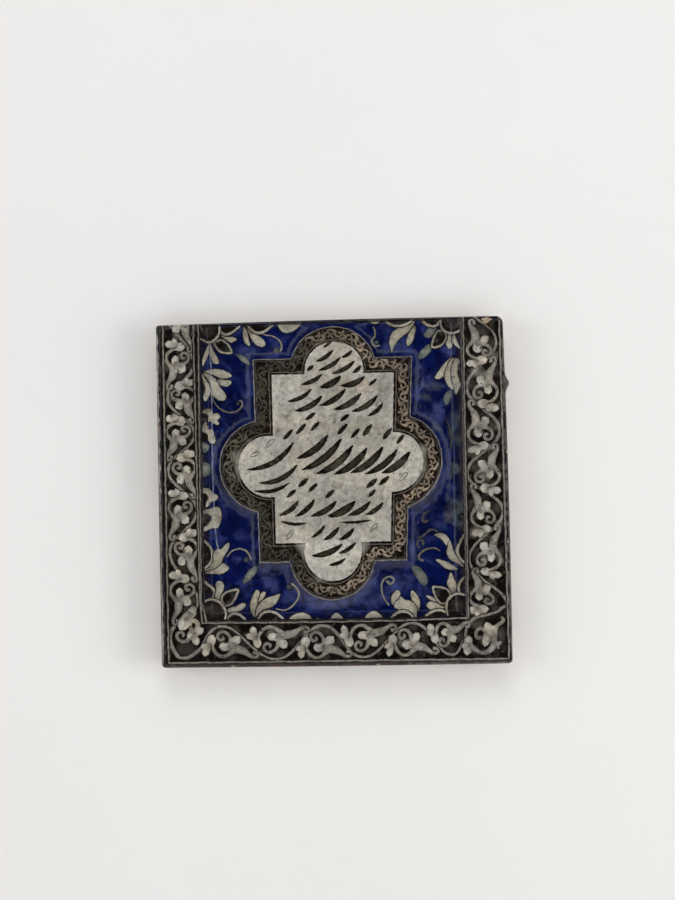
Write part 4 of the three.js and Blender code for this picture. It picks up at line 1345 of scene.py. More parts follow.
# Strokes of the panel, in rows from the head down: from, to, sag below the straight, half width.
PANEL_SWEEPS = [
    ((-8.6, 76.6), (1.6, 83), 0.9, 1), ((-7.2, 71.4), (5.6, 78.6), 1.2, 1.2),
    ((0.6, 69.4), (13.8, 76.4), 1.2, 1.25), ((6.4, 78.6), (12.4, 82.6), 0.6, 0.9),
    ((12.6, 69.6), (17.4, 73.8), 0.5, 0.9), ((-17.6, 63.4), (-5.2, 69.2), 1.2, 1.2),
    ((-6.6, 61.6), (5.4, 67.8), 1.3, 1.5), ((5.4, 62.4), (19.4, 67.2), 1.6, 1.5),
    ((-25.6, 53.8), (-11.6, 60.6), 1.7, 1.2), ((-21.4, 48.2), (-5.6, 56.4), 1.8, 1.35),
    ((-7, 51), (8.2, 60.2), 1.6, 1.5), ((1.4, 48.6), (17.2, 57.6), 1.7, 1.6),
    ((11.6, 47.2), (26.6, 56), 1.7, 1.5), ((20.8, 44.4), (29.8, 51.8), 1.1, 1.2),
    ((-50.2, 14.6), (-22.6, 29.8), 4.2, 1.3), ((-43, 6.8), (-20.8, 16.6), 3.2, 1.25),
    ((-20.8, 20.6), (-2.6, 33.6), 2.2, 1.7), ((-18, 13.8), (5, 31.2), 2.6, 2),
    ((-9.8, 11.4), (11.6, 27.2), 2.6, 1.9), ((0.6, 11), (19.8, 25.6), 2.4, 2),
    ((10.2, 11.6), (29, 26), 2.4, 1.8), ((18.8, 10.8), (37.4, 24.4), 2.2, 1.9),
    ((28.4, 11.2), (44.6, 23), 2, 1.8), ((-31.6, -12.4), (-20.4, -4), 1.4, 1.2),
    ((-22.4, -13), (-11, -3.4), 1.4, 1.2), ((-13.4, -13), (1.6, -4.8), 1.6, 1.5),
    ((-3.4, -13.2), (12.4, -5), 1.7, 1.7), ((8.4, -13), (21.2, -5.4), 1.4, 1.5),
    ((18.6, -12.8), (28.6, -6), 1.1, 1.2), ((-13.4, -25.6), (-5.4, -18.8), 0.8, 1.1),
    ((-6, -27), (2.8, -19.8), 0.9, 1.2), ((2.8, -27.2), (11.4, -20.8), 0.9, 1.2),
    ((-13.2, -36), (4.4, -29.8), 1.8, 1.4), ((2.2, -35), (12.6, -28.6), 1.1, 1.1),
    ((-3.6, -41.6), (6.4, -38), 0.9, 1), ((-46, 2.4), (-25.6, 6.4), 2.4, 1),
    ((-30.6, -15.6), (-16, -17), 1.2, 0.9), ((3, -16.8), (21.6, -16), 0.7, 0.7),
]

# Short slanted dashes between them: middle, length, lean from the level, half width.
PANEL_DASHES = [
    ((-1.6, 86.4), 6, 36, 0.8), ((-12, 72.8), 4.6, 40, 0.9), ((24.2, 64), 6, 40, 0.9),
    ((-12.4, 44.8), 7, 36, 1), ((7.4, 43.6), 6.6, 36, 0.9), ((-25.6, 34.4), 8, 46, 1.1),
    ((-18, 37.6), 8.4, 46, 1.1), ((-9.8, 39), 7.4, 46, 1), ((6, 37), 8.6, 46, 1.1),
    ((13.4, 34.4), 7.4, 46, 1), ((20.4, 36), 8.4, 52, 1.2), ((32, 33.8), 8, 52, 1.1),
    ((39.4, 30.4), 6.8, 50, 1), ((-17.4, 6.4), 7.4, 40, 1.2), ((-11.8, 3.4), 7, 40, 1.1),
    ((-24.4, 0.2), 7, 40, 1.1), ((22.4, 5.2), 8, 40, 1.3), ((29.6, 6.6), 7.6, 40, 1.2),
    ((22.4, -0.6), 6, 46, 0.9), ((-2, -0.4), 6.8, 42, 1),
]

# Thin hollow commas that fill the panel's empty places: base, tip and width.
PANEL_FILLERS = [
    ((-38, 27.6), (-33.4, 31.8), 2.8), ((-48, 22), (-42.2, 24.2), 2.6), ((38.8, 6.2), (43.8, 11.6), 2.8),
    ((-27.6, -26.6), (-23.2, -20.6), 2.6), ((21, -23), (25.8, -18), 2.4),
]

# Stains in the panel's white, and near-white patches, largest in its lobes, that paint highlights of the
# glaze: centre, radii, colour and strength.
PANEL_STAINS_AND_HIGHLIGHTS = [
    ((-24.6, 47), (2.6, 4.6), (0.20, 0.20, 0.12), 0.55), ((-16.6, 61.6), (4, 3), (0.46, 0.34, 0.30), 0.5),
    ((30.2, 61), (3.4, 2.4), (0.17, 0.18, 0.15), 0.6), ((19.2, 60.4), (4.4, 3.2), (0.50, 0.37, 0.31), 0.55),
    ((11.6, 56.6), (4, 2.4), (0.30, 0.40, 0.36), 0.5), ((-20, 63), (4, 6), (0.34, 0.42, 0.38), 0.3),
    ((-32.2, 36.8), (1.8, 3), (0.09, 0.05, 0.04), 0.6), ((8, 66), (3, 2), (0.08, 0.07, 0.04), 0.4),
    ((52, 16), (2.4, 9), (0.16, 0.15, 0.11), 0.3), ((-10, 40), (8, 4), (0.48, 0.40, 0.30), 0.35),
    ((-32, 52), (1.2, 9), (0.50, 0.49, 0.46), 0.6), ((-29.4, 50), (0.9, 8), (0.24, 0.25, 0.20), 0.5),
    ((-26, -14), (1.4, 9), (0.26, 0.27, 0.22), 0.45), ((-22.8, -22), (1.8, 5), (0.50, 0.50, 0.47), 0.5),
    ((31, 48), (1.4, 10), (0.26, 0.25, 0.21), 0.5), ((24.6, -10), (3.4, 9), (0.27, 0.28, 0.24), 0.4),
    ((-52, 16), (3, 7), (0.50, 0.49, 0.45), 0.5), ((48, 20), (3, 5), (0.50, 0.49, 0.46), 0.5),
    ((-8, -22), (4, 3), (0.26, 0.26, 0.22), 0.4), ((4, -38), (7, 4.6), (0.50, 0.48, 0.44), 0.5),
    ((6, 4), (10, 1.8), (0.25, 0.25, 0.21), 0.4), ((-12, 9), (7, 2.4), (0.49, 0.47, 0.43), 0.4),
    ((-2, 84), (5, 4), (0.46, 0.40, 0.34), 0.4), ((15, 41), (6, 2.6), (0.27, 0.26, 0.21), 0.4),
    ((-1, -35), (15, 11), (0.54, 0.53, 0.48), 0.9), ((-45, 18), (9, 11), (0.50, 0.49, 0.44), 0.7),
    ((45, 18), (9, 10), (0.50, 0.49, 0.44), 0.7), ((0, -4), (24, 6), (0.29, 0.29, 0.25), 0.6),
    ((0, 38), (26, 5), (0.31, 0.29, 0.24), 0.6), ((-22, 56), (6, 9), (0.50, 0.49, 0.45), 0.6),
    ((24, -16), (4, 8), (0.50, 0.50, 0.46), 0.6), ((2, 62), (10, 5), (0.30, 0.28, 0.23), 0.5),
    ((-26, 2), (6, 8), (0.48, 0.47, 0.42), 0.5), ((30, 30), (6, 5), (0.28, 0.28, 0.24), 0.5),
]


def panel_strokes(paint, hue, rng):
    """Rows of slanted brush strokes on the panel, which are no letters."""
    # Stains, and near-white patches that paint highlights of the glaze.
    for centre, radii, colour, strength in PANEL_STAINS_AND_HIGHLIGHTS:
        for grow, share in ((1.1, 0.4), (0.8, 0.4), (0.5, 0.4)):
            loop = blotch(centre, np.asarray(radii) * grow, 0, rng, step=2.6)
            paint.fill(loop, colour, strength=strength * share, wash=1.8)
    for base, tip, width in PANEL_FILLERS:
        loop = petal(base, tip, width, 0.3, belly=0.55)
        paint.fill([loop, grown(loop, -0.55)], hue.ink, strength=0.8)
    sweeps = list(PANEL_SWEEPS)
    for (x, z), length, lean, half in PANEL_DASHES:
        reach = np.array([math.cos(math.radians(lean)), math.sin(math.radians(lean))]) * length / 2
        sweeps.append(((x - reach[0], z - reach[1]), (x + reach[0], z + reach[1]), 0.0, half))
    for begin, end, sag, half in sweeps:
        begin, end = np.asarray(begin), np.asarray(end)
        run = end - begin
        below = np.array([run[1], -run[0]]) / np.linalg.norm(run)
        swell = min(half, 1.8) * rng.uniform(1.08, 1.36)
        line = [(*(begin + run * u + below * sag * 4 * u * (1 - u)), swell * share)
                for u, share in ((0, 0.15), (0.22, 0.8), (0.5, 1.0), (0.78, 0.85), (1, 0.3))]
        loop = brush_stroke(line)
        paint.fill(loop, hue.ink)
        middle = [(x, z, max(h - 0.65, 0.1)) for x, z, h in line[1:-1]]
        paint.stroke(middle, hue.ink_thin, strength=rng.uniform(0.2, 0.9), wash=0.5)
        paint.sink(loop)


def paint_face(hue, seed):
    """Everything that is painted on the face, from the grounds up to the panel's strokes."""
    rng = np.random.default_rng(seed)
    paint = Painting()
    top = HALF_HEIGHT + PAST_HEAD
    field = [(-75.5, top), (-75.5, -72.8), (-21.0, -73.5), (37.5, -73.7), (75.2, -73.0), (75.2, top)]
    field = hand_drift(straight_line(field, closed=True, step=1.4), 0.1)
    slab = straight_line([(-112, -112), (112, -112), (112, 112), (-112, 112)], closed=True, step=8)
    paint.fill(field, hue.cobalt, cobalt=1.0)
    field_flowers(paint, hue, rng)
    ruled_line(paint, [(-76.0, -72.5), (-21.0, -73.2), (37.5, -73.4), (76.0, -72.8)], 0.7, hue.ink)
    head_edge = [slab_corner("left", "head", 24, 0.4), slab_corner("right", "head", 24, 0.4)]
    ruled_line(paint, head_edge, 1.3, hue.ink, 0.85)
    paint.fill([slab, field], hue.border_dark)
    border(paint, hue, rng)
    paint.fill(cartouche_loop(-0.03, step=1.2), hue.frame_brown)
    cartouche_scroll(paint, hue, rng)
    paint.fill(cartouche_loop(1.02, step=1.2), hue.panel_white)
    panel_strokes(paint, hue, rng)
    return paint


def head_run(points):
    """Distance in from the head edge, with a large number added outside the open field."""
    x, z = points.T
    below = HALF_HEIGHT + SIDE_LEAN["head"] * x / HALF_WIDTH - z
    inside = np.clip(np.minimum(x - BORDER_INNER["left"], BORDER_INNER["right"] - x) / 2.8, 0, 1)
    return below + 9.0 * (1 - inside * inside * (3 - 2 * inside))


def relief_cuts():
    """Lines along which the relief turns, so that the sheet bends there and nowhere else."""
    cuts = []
    for share in [share for share, _ in CARTOUCHE_SECTION[1:]] + [-0.4, -0.2, -0.06, 0.09, 0.3, 0.6, 1.18]:
        cuts.append((cartouche_loop(share, step=1.8), True))
    for inset in (0.0, 0.4, 0.8, 2.0, 3.3, 3.9, 4.3, 4.7, 5.1, 5.6):
        cuts.append((recess_line(inset), False))
    for inset in (0.06, 0.22, 0.5, 0.9, 1.4, 2.0, 2.6):
        cuts.append((slab_loop(inset, 1.0), True))
    across = np.linspace(-HALF_WIDTH + 20, HALF_WIDTH - 20, 130)
    head = HALF_HEIGHT + SIDE_LEAN["head"] * across / HALF_WIDTH
    for inset in (0.3, 0.6, 1.3, 2.2, 3.4, 4.6, 6.6, 9.0):
        cuts.append((np.column_stack([across, head - inset]), False))
    return cuts


def pressed_sheet(paint, seed):
    """The tile as an unpressed closed mesh: painted face, side walls and back, with attributes."""
    outline = slab_loop(0.0, 1.0)
    cuts = relief_cuts() + [(loop, True) for loop in paint.cuts]
    face, triangles = flat_sheet(outline, cuts, GRID_STEP, seed)
    ring = boundary_loop(triangles)
    segment, share = on_loop(face[ring], outline)

    places = [face]
    depths = [np.full(len(face), np.nan)]
    faces = [triangles]
    kinds = [np.full(len(triangles), ON_FACE)]
    total = len(face)
    for height, inset, lump in WALL_SECTION:
        loop = slab_loop(inset, lump)
        row = loop[segment] * (1 - share)[:, None] + np.roll(loop, -1, 0)[segment] * share[:, None]
        below = np.arange(len(row)) + total
        after, below_after = np.roll(ring, -1), np.roll(below, -1)
        faces += [np.column_stack([after, ring, below]), np.column_stack([after, below, below_after])]
        kinds.append(np.full(2 * len(ring), ON_SIDE))
        places.append(row)
        depths.append(np.full(len(row), height))
        total += len(row)
        ring = below
    back, back_faces = flat_sheet(places[-1], [], BACK_STEP, seed + 1)
    on_edge = {tuple(np.round(point, 3)): number for number, point in zip(ring, places[-1])}
    numbers = []
    extra = []
    for point in back:
        number = on_edge.get(tuple(np.round(point, 3)))
        if number is None:
            number = total + len(extra)
            extra.append(point)
        numbers.append(number)
    places.append(np.array(extra))
    depths.append(np.zeros(len(extra)))
    faces.append(np.array(numbers)[back_faces][:, ::-1])
    kinds.append(np.full(len(back_faces), ON_BACK))
    return np.vstack(places), np.concatenate(depths), np.vstack(faces), np.concatenate(kinds)


# Inputs of the relief tree that take the tile size of the same name.
RELIEF_SIZES = ("Thickness", "Field Floor", "Bevel Width", "Arris Width", "Arris Drop", "Glaze Ripple",
                "Ripple Size", "Stroke Depth", "Back Unevenness")


def pressed_relief_tree():
    """Node tree that presses the border, field, cartouche and head edge into the flat sheet."""
    tree = bpy.data.node_groups.new("pressed relief", "GeometryNodeTree")
    face = tree.interface
    face.new_socket("Geometry", in_out="INPUT", socket_type="NodeSocketGeometry")
    for name in RELIEF_SIZES:
        face.new_socket(name, in_out="INPUT", socket_type="NodeSocketFloat")
    face.new_socket("Seed", in_out="INPUT", socket_type="NodeSocketInt")
    face.new_socket("Glaze", in_out="INPUT", socket_type="NodeSocketMaterial")
    face.new_socket("Geometry", in_out="OUTPUT", socket_type="NodeSocketGeometry")
    make = NodeMaker(tree)
    given = make.add("NodeGroupInput").outputs

    def carried(name):
        return make.out("GeometryNodeInputNamedAttribute", {"Name": name}, data_type="FLOAT")

    def section(value, points, low, high):
        """Second value of a section's points, read at a first value."""
        first, last = points[0][0], points[-1][0]
        node = make.add("ShaderNodeFloatCurve", {"Value": make.span(value, first, last)})
        curve = node.mapping.curves[0]
        spots = [((a - first) / (last - first), (h - low) / (high - low)) for a, h in points]
        for spot in spots[1:-1]:
            curve.points.new(*spot)
        curve.points[0].location, curve.points[-1].location = spots[0], spots[-1]
        for point in curve.points:
            point.handle_type = "AUTO"
        node.mapping.update()
        return make.math("MULTIPLY_ADD", node.outputs[0], high - low, low)

    short = make.span(make.math("DIVIDE", carried("edge_inset"), given["Arris Width"]), 0, 1, 1, 0)
    sine = make.math("SQRT", make.minus(1.0, make.times(short, short)))
    fall = make.times(given["Arris Drop"], make.minus(1.0, sine))
    border_top = make.minus(given["Thickness"], fall)
    left_over = section(make.math("DIVIDE", carried("recess_run"), given["Bevel Width"]), BEVEL_SECTION, 0, 1)
    rise = make.minus(given["Thickness"], given["Field Floor"])
    field = make.math("MULTIPLY_ADD", rise, left_over, given["Field Floor"])
    ground = make.math("MINIMUM", border_top, field)
    moulding = make.times(section(carried("cartouche_share"), CARTOUCHE_SECTION, 17.0, 20.0), MM)
    raised = make.math("SMOOTH_MAX", ground, moulding, 0.12 * MM)
    run = make.math("DIVIDE", carried("head_run"), MM)
    head = make.times(section(run, HEAD_SECTION, 15.0, 22.0), MM)
    height = make.math("SMOOTH_MIN", raised, head, 0.2 * MM)

    place = make.out("GeometryNodeInputPosition")
    size = make.math("DIVIDE", 1.0, given["Ripple Size"])
    waves = make.noise(place, size, W=given["Seed"])
    height = make.minus(height, make.times(waves, given["Glaze Ripple"]))
    sunk = make.times(carried("stroke_share"), given["Stroke Depth"])
    height = make.math("MINIMUM", make.minus(height, sunk), given["Thickness"])
    x, _, z = make.add("ShaderNodeSeparateXYZ", {0: place}).outputs
    pressed = make.add("ShaderNodeCombineXYZ", {0: x, 1: make.times(height, -1.0), 2: z})
    on_face = make.math("GREATER_THAN", carried("face_share"), 0.5)
    inputs = {"Geometry": given["Geometry"], "Selection": on_face, "Position": pressed.outputs[0]}
    geometry = make.out("GeometryNodeSetPosition", inputs)
    rough = make.noise(place, 55.0, 3.0, W=given["Seed"])
    hollowed = make.times(make.times(rough, given["Back Unevenness"]), -1.0)
    lifted = make.add("ShaderNodeCombineXYZ", {1: make.times(hollowed, carried("back_share"))})
    for kind, inputs in (
        ("GeometryNodeSetPosition", {"Offset": lifted.outputs[0]}),
        ("GeometryNodeSetShadeSmooth", {}),
        ("GeometryNodeRealizeInstances", {}),
        ("GeometryNodeSetMaterial", {"Material": given["Glaze"]}),
    ):
        geometry = make.out(kind, {"Geometry": geometry} | inputs)
    make.join(geometry, make.add("NodeGroupOutput").inputs["Geometry"])
    return tree


def glaze_material(hue):
    """Clear glossy glaze over the painting, with drips down the sides and bare clay behind."""
    material = bpy.data.materials.new("painted_glaze")
    make = fresh_nodes(material)
    place = make.add("ShaderNodeTexCoord").outputs["Object"]
    paint = make.add("ShaderNodeAttribute", attribute_name="paint").outputs["Color"]
    blue = make.add("ShaderNodeAttribute", attribute_name="cobalt_share").outputs["Fac"]

    def noise(scale, detail=2.0, **more):
        return make.noise(place, scale, detail, **more)

    def solid(colour):
        return (*colour, 1.0)

    thin = make.span(noise(110.0, 5.0, Distortion=0.6), 0.5, 0.68, 0.0, 0.6, smooth=True)
    colour = make.mix(make.times(blue, thin), paint, solid(hue.cobalt_thin_and_sheen))
    pooled = make.span(noise(75.0, 4.0, Distortion=1.0), 0.48, 0.62, 0.0, 0.6, smooth=True)
    colour = make.mix(make.times(blue, pooled), colour, solid(hue.cobalt_pooled))
    tone = make.times(make.span(noise(45.0, 3.0), 0.3, 0.7, 0.78, 1.18),
                      make.span(noise(380.0, 3.0, Distortion=0.4), 0.3, 0.7, 0.72, 1.24))
    tone = make.times(tone, make.span(noise(1000.0, 2.0), 0.25, 0.75, 0.86, 1.12))
    colour = make.scaled(colour, tone)
    warmth = make.span(noise(85.0, 2.0), 0.3, 0.7, 0.0, 1.0)
    warm = make.mix(warmth, (1.0, 1.0, 1.0, 1.0), (1.06, 1.0, 0.9, 1.0))
    colour = make.out("ShaderNodeVectorMath", {0: colour, 1: warm}, operation="MULTIPLY")
    smudge = make.span(noise(190.0, 4.0, Distortion=0.8), 0.56, 0.68, 0.0, 0.42, smooth=True)
    smudge = make.times(smudge, make.minus(1.0, blue))
    colour = make.mix(smudge, colour, solid(hue.grime))
    speck = make.span(noise(520.0, 1.0), 0.69, 0.75, 0.0, 0.75, smooth=True)
    colour = make.mix(speck, colour, solid(hue.ink))

    y = make.add("ShaderNodeSeparateXYZ", {0: place}).outputs[1]
    drip = make.span(noise(70.0, 3.0), 0.3, 0.7, -0.0105, -0.0035)
    glazed = make.span(make.minus(drip, y), -0.0003, 0.0004, smooth=True)
    clay_tone = make.times(make.span(noise(35.0, 4.0), 0.3, 0.7, 0.72, 1.1),
                           make.span(noise(600.0, 3.0), 0.3, 0.7, 0.85, 1.1))
    colour = make.mix(glazed, make.scaled(hue.bare_clay, clay_tone), colour)

    glaze_rough = make.span(noise(160.0, 3.0), 0.3, 0.7, 0.06, 0.16)
    rough = make.out("ShaderNodeMix", {0: glazed, 2: 0.86, 3: glaze_rough})
    waves = make.times(noise(280.0, 2.0), 0.028 * MM)
    waves = make.math("MULTIPLY_ADD", noise(140.0, 1.5), 0.42 * MM, waves)
    orange_peel = make.times(noise(1300.0, 1.0), 0.003 * MM)
    gloss_height = make.math("ADD", waves, orange_peel)
    clay_height = make.times(noise(1500.0, 4.0), 0.25 * MM)
    height = make.out("ShaderNodeMix", {0: glazed, 2: clay_height, 3: gloss_height})
    bump = make.out("ShaderNodeBump", {"Height": height, "Distance": 1.0, "Strength": 1.0})
    inputs = {"Base Color": colour, "Roughness": rough, "Normal": bump, "IOR": 1.5}
    shader = make.out("ShaderNodeBsdfPrincipled", inputs)
    make.join(shader, make.add("ShaderNodeOutputMaterial").inputs["Surface"])
    return material


def vertex_places(mesh):
    places = np.empty(len(mesh.vertices) * 3)
    mesh.vertices.foreach_get("co", places)
    return places.reshape(-1, 3)


def corner_normals(mesh):
    """Normals for smooth shading, in which a large triangle counts for more than a sliver."""
    places = vertex_places(mesh)
    corners = np.empty(len(mesh.loops), int)
    mesh.loops.foreach_get("vertex_index", corners)
    faces = corners.reshape(-1, 3)
    a, b, c = places[faces].transpose(1, 0, 2)
    cross = np.cross(b - a, c - a)
    normals = np.zeros_like(places)
    for k in range(3):
        np.add.at(normals, faces[:, k], cross)
    return normals / np.maximum(np.linalg.norm(normals, axis=1), 1e-20)[:, None]


def bake_layout(places, faces, kinds, side_of):
    """Place of each corner on the flat map: the face, the back, and the four sides in strips."""
    corners = places[faces]
    layout = np.zeros((len(faces), 3, 2))
    front, back = kinds == ON_FACE, kinds == ON_BACK
    spread = (corners[:, :, [0, 2]] / (106 * MM) + 1) / 2
    layout[front] = 0.005 + spread[front] * 0.79
    layout[back] = np.array([0.81, 0.005]) + spread[back] * np.array([0.18, 0.19])
    depth = 1 + corners[:, :, 1] / (18 * MM)
    for side in range(4):
        chosen = (kinds == ON_SIDE) & (side_of == side)
        row = 0.81 + 0.08 * (side // 2) + 0.07 * depth
        if side % 2 == 0:
            layout[chosen] = np.stack([0.01 + 0.78 * spread[..., 0], row], axis=2)[chosen]
        else:
            layout[chosen] = np.stack([row, 0.22 + 0.77 * spread[..., 1]], axis=2)[chosen]
    return layout


def carry(mesh, name, values, domain="POINT", kind="FLOAT", field="value"):
    """Puts values on the mesh's points or corners, for its node trees to read."""
    mesh.attributes.new(name, kind, domain).data.foreach_set(field, values.ravel())


def press_tile(context, sizes, hue):
    """Paints the face, presses the relief and makes the tile one closed mesh."""
    paint = paint_face(hue, sizes.seed)
    flat, depths, faces, kinds = pressed_sheet(paint, sizes.seed)
    on_face = np.isnan(depths)
    y = np.where(on_face, 0.0, -np.nan_to_num(depths)) * MM
    places = np.column_stack([flat[:, 0] * MM, y, flat[:, 1] * MM])
    mesh = bpy.data.meshes.new("painted_relief_tile")
    mesh.from_pydata(places.tolist(), [], faces.tolist())

    front = flat[on_face]
    carried = {
        "face_share": np.ones(len(front)),
        "edge_inset": np.maximum(depth_inside(front, [slab_loop(0.0, 1.0)], EDGE_REACH), 0) * MM,
        "recess_run": recess_depth(front) * MM,
        "cartouche_share": cartouche_share(front),
        "head_run": np.maximum(head_run(front), 0) * MM,
        "stroke_share": paint.sunk_share(front),
    }
    for name, values in carried.items():
        carry(mesh, name, np.append(values, np.zeros(len(flat) - len(front))))
    back_edge = slab_loop(WALL_SECTION[-1][1], 0.0)
    back_share = np.zeros(len(flat))
    back_share[depths == 0] = depth_inside(flat[depths == 0], [back_edge], BACK_REACH) / BACK_REACH
    carry(mesh, "back_share", np.clip(back_share, 0, 1))

    colours = np.zeros((len(faces), 3, 4))
    colours[..., 3] = 1
    blue = np.zeros((len(faces), 3))
    painted = kinds == ON_FACE
    colours[painted, :, :3], blue[painted] = paint.colours(flat, faces[painted])
    depth = -places[faces][..., 1] / MM
    low = np.clip((depth - BROWN_DEPTH) / (DARK_DEPTH - BROWN_DEPTH), 0, 1)[..., None]
    sides = np.asarray(hue.edge_brown) * (1 - low) + np.asarray(hue.border_dark) * low
    colours[kinds == ON_SIDE, :, :3] = sides[kinds == ON_SIDE]
    carry(mesh, "paint", colours, "CORNER", "FLOAT_COLOR", "color")
    carry(mesh, "cobalt_share", blue, "CORNER")

    draft = bpy.data.objects.new("tile draft", mesh)
    context.collection.objects.link(draft)
    tree = pressed_relief_tree()
    modifier = draft.modifiers.new("pressed relief", "NODES")
    modifier.node_group = tree
    given = {name: getattr(sizes, name.lower().replace(" ", "_")) for name in (*RELIEF_SIZES, "Seed")}
    given["Glaze"] = glaze_material(hue)
    for item in tree.interface.items_tree:
        if item.name in given:
            modifier[item.identifier] = given[item.name]
    context.view_layer.update()
    pressed = bpy.data.meshes.new_from_object(draft.evaluated_get(context.evaluated_depsgraph_get()))
    bpy.data.objects.remove(draft)
    if len(pressed.polygons) != len(faces):
        raise RuntimeError("the pressed tile has lost some of its faces")
    for name in [*carried, "back_share"]:
        pressed.attributes.remove(pressed.attributes[name])
    layout = pressed.uv_layers.new(name="OFBake")
    middle = places[faces].mean(axis=1)
    across, up = middle[:, 0], middle[:, 2]
    side_of = np.where(np.abs(across) > np.abs(up), np.where(across > 0, 1, 3), np.where(up > 0, 2, 0))
    layout.data.foreach_set("uv", bake_layout(vertex_places(pressed), faces, kinds, side_of).ravel())
    pressed.normals_split_custom_set_from_vertices(corner_normals(pressed).tolist())
    pressed.name = "painted_relief_tile"
    tile = bpy.data.objects.new("painted_relief_tile", pressed)
    context.collection.objects.link(tile)
    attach(tile, "root")
    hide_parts("relief_tile")
    return tile


class StudioSizes(bpy.types.PropertyGroup):
    view_width: measure("View Width", "Width of the picture at the tile's face", 391.5)
    distance: measure("Camera Distance", "From the camera to the tile's face", 1300)
    across: measure("View Centre Across", "Centre of the picture", 2.96)
    up: measure("View Centre Up", "Centre of the picture", 25.0)
    roll: FloatProperty(
        name="Roll", description="How far the tile hangs turned against the picture",
        default=math.radians(1.15), unit="ROTATION",
    )
    wall_grey: FloatProperty(name="Wall Tone", description="Tone of the pale wall and floor", default=0.84)
    foot_light: watts("Foot Light", "Watts of the light below", 26.0)
    left_light: watts("Left Light", "Watts of the light at the left", 5.0)
    right_light: watts("Right Light", "Watts of the light at the right", 9.0)
    head_light: watts("Head Light", "Watts of the light above", 6.0)
    back_light: watts("Back Light", "Watts of the light behind the wall", 20.0)
    room_glow: FloatProperty(
        name="Room Glow", description="Brightness of the room that the glaze mirrors", default=0.95
    )


def wall_material(tone):
    """Pale matt wall that can be seen through from behind."""
    material = bpy.data.materials.new("pale wall")
    make = fresh_nodes(material)
    place = make.add("ShaderNodeTexCoord").outputs["Object"]
    level = make.span(make.noise(place, 3.0), 0.3, 0.7, tone * 0.985, tone * 1.015)
    warm = make.times(level, 1.018)
    cool = make.times(level, 0.98)
    colour = make.out("ShaderNodeCombineColor", {0: warm, 1: level, 2: cool})
    matt = make.out("ShaderNodeBsdfDiffuse", {"Color": colour})
    clear = make.out("ShaderNodeBsdfTransparent")
    behind = make.add("ShaderNodeNewGeometry").outputs["Backfacing"]
    both = make.out("ShaderNodeMixShader", {0: behind, 1: matt, 2: clear})
    make.join(both, make.add("ShaderNodeOutputMaterial").inputs["Surface"])
    return material


def room_world(glow):
    """Pale room; the glaze mirrors it as dim straight ahead, bright round that and dim further out."""
    world = bpy.data.worlds.new("pale room")
    make = fresh_nodes(world)
    toward = make.add("ShaderNodeTexCoord").outputs["Generated"]
    x, y, z = make.add("ShaderNodeSeparateXYZ", {0: toward}).outputs
    ahead = make.times(y, -1.0)
    across = make.math("ARCTAN2", x, ahead)
    up = make.math("ARCTAN2", z, ahead)

    def off_centre(middle_up, half_across, half_up):
        wide = make.math("DIVIDE", across, math.radians(half_across))
        high = make.math("DIVIDE", make.minus(up, math.radians(middle_up)), math.radians(half_up))
        squares = make.math("ADD", make.times(wide, wide), make.times(high, high))
        return make.math("SQRT", squares)

    ring = make.span(off_centre(1.6, 14.8, 15.6), 0.92, 1.08, 0.0, 1.0, smooth=True)
    fade = make.span(off_centre(0.0, 40.0, 40.0), 0.68, 0.9, 1.0, 0.05, smooth=True)
    left = make.span(across, math.radians(-85), math.radians(-66), 1.6, 0.0, smooth=True)
    right = make.span(across, math.radians(70), math.radians(88), 0.0, 0.7, smooth=True)
    mirrored = make.math("ADD", make.times(ring, fade), make.math("ADD", left, right))
    mirrored = make.times(mirrored, glow)
    path = make.add("ShaderNodeLightPath").outputs
    strength = make.out("ShaderNodeMix", {0: path["Is Glossy Ray"], 2: 0.45, 3: mirrored})
    shown = make.out("ShaderNodeMix", {0: path["Is Camera Ray"], 2: strength, 3: 0.86})
    sky = make.mix(path["Is Glossy Ray"], (0.96, 0.98, 1.0, 1.0), (0.92, 1.0, 1.2, 1.0))
    shader = make.out("ShaderNodeBackground", {"Color": sky, "Strength": shown})
    make.join(shader, make.add("ShaderNodeOutputWorld").inputs["Surface"])
    return world


def soft_light(context, name, place, size, power):
    """A square lamp turned to the tile, which doesn't show in the glaze."""
    lamp = bpy.data.lights.new(name, "AREA")
    lamp.shape, lamp.size, lamp.energy = "SQUARE", size, power
    light = bpy.data.objects.new(name, lamp)
    light.location = place
    light.rotation_euler = (Vector() - Vector(place)).to_track_quat("-Z", "Y").to_euler()
    light.visible_glossy = False
    context.collection.objects.link(light)


def stage_mesh(context, name, corners, faces, material):
    """A flat piece of the studio, which isn't part of the tile."""
    mesh = bpy.data.meshes.new(name)
    mesh.from_pydata(corners, [], faces)
    mesh.materials.append(material)
    piece = bpy.data.objects.new(name, mesh)
    context.collection.objects.link(piece)


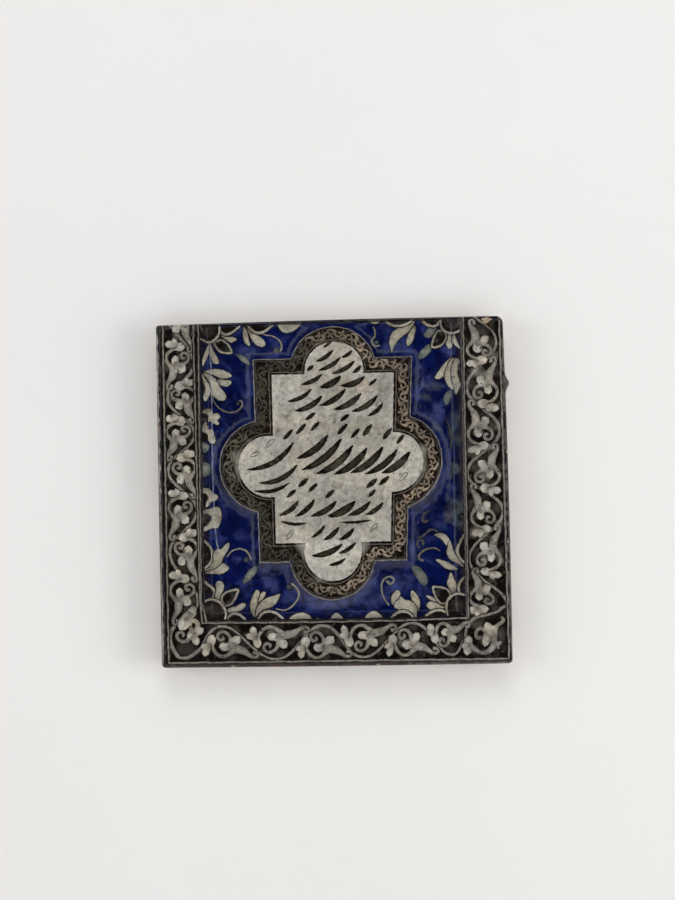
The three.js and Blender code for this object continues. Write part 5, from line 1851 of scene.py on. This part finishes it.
def set_studio(context, studio):
    """Wall, floor, lights, room and camera."""
    context.scene.view_settings.view_transform = "Standard"
    matt = wall_material(studio.wall_grey)
    wide, high, low, gap = 2.2, 1.8, -0.6, 0.3 * MM
    hole = [(x * (HALF_WIDTH - 6) * MM, gap, z * (HALF_HEIGHT - 6) * MM) for x, z in
            ((-1, -1), (1, -1), (1, 1), (-1, 1))]
    edge = [(-wide, gap, low), (wide, gap, low), (wide, gap, high), (-wide, gap, high)]
    ring = [(i, (i + 1) % 4, 4 + (i + 1) % 4, 4 + i) for i in range(4)]
    stage_mesh(context, "wall", edge + hole, ring, matt)
    floor = [(-wide, -2.4, low), (wide, -2.4, low), (wide, gap, low), (-wide, gap, low)]
    stage_mesh(context, "floor", floor, [(0, 1, 2, 3)], matt)

    soft_light(context, "foot light", (0.15, -1.0, -1.0), 0.9, studio.foot_light)
    soft_light(context, "left light", (-1.2, -0.9, 0.2), 0.8, studio.left_light)
    soft_light(context, "right light", (1.3, -0.9, -0.1), 0.8, studio.right_light)
    soft_light(context, "head light", (0.0, -1.1, 1.2), 0.8, studio.head_light)
    soft_light(context, "back light", (0.5, 1.4, 0.7), 1.0, studio.back_light)
    context.scene.world = room_world(studio.room_glow)

    lens = bpy.data.cameras.new("camera")
    lens.sensor_fit = "HORIZONTAL"
    lens.lens = lens.sensor_width * studio.distance / studio.view_width
    camera = bpy.data.objects.new("camera", lens)
    camera.location = (studio.across, -20 * MM - studio.distance, studio.up)
    level = Vector((0, 1, 0)).to_track_quat("-Z", "Z")
    camera.rotation_euler = (level @ Quaternion((0, 0, 1), -studio.roll)).to_euler()
    context.collection.objects.link(camera)
    context.scene.camera = camera


class TILE_OT_studio(bpy.types.Operator):
    """Makes the wall, the floor, the soft lights and the camera"""

    bl_idname = "cartouche_tile.studio"
    bl_label = "Studio"

    def execute(self, context):
        set_studio(context, context.scene.tile_studio)
        return {"FINISHED"}


class TILE_OT_press(bpy.types.Operator):
    """Paints the tile and presses its relief"""

    bl_idname = "cartouche_tile.press"
    bl_label = "Pressed Tile"

    def execute(self, context):
        press_tile(context, context.scene.tile_sizes, context.scene.tile_colours)
        return {"FINISHED"}


class TILE_PT_panel(bpy.types.Panel):
    bl_label = "Cartouche Tile"
    bl_space_type = "VIEW_3D"
    bl_region_type = "UI"
    bl_category = "Tile"

    def draw(self, context):
        for operator in (TILE_OT_studio, TILE_OT_press):
            self.layout.operator(operator.bl_idname)
        for group in (context.scene.tile_sizes, context.scene.tile_colours, context.scene.tile_studio):
            for name in group.__annotations__:
                self.layout.prop(group, name)


CLASSES = (TileSizes, TileColours, StudioSizes, TILE_OT_studio, TILE_OT_press, TILE_PT_panel)


def register():
    for kind in CLASSES:
        bpy.utils.register_class(kind)
    bpy.types.Scene.tile_sizes = PointerProperty(type=TileSizes)
    bpy.types.Scene.tile_colours = PointerProperty(type=TileColours)
    bpy.types.Scene.tile_studio = PointerProperty(type=StudioSizes)


def unregister():
    del bpy.types.Scene.tile_studio
    del bpy.types.Scene.tile_colours
    del bpy.types.Scene.tile_sizes
    for kind in reversed(CLASSES):
        bpy.utils.unregister_class(kind)


def main():
    register()
    bpy.ops.cartouche_tile.studio()
    bpy.ops.cartouche_tile.press()


if __name__ == "__main__":
    main()
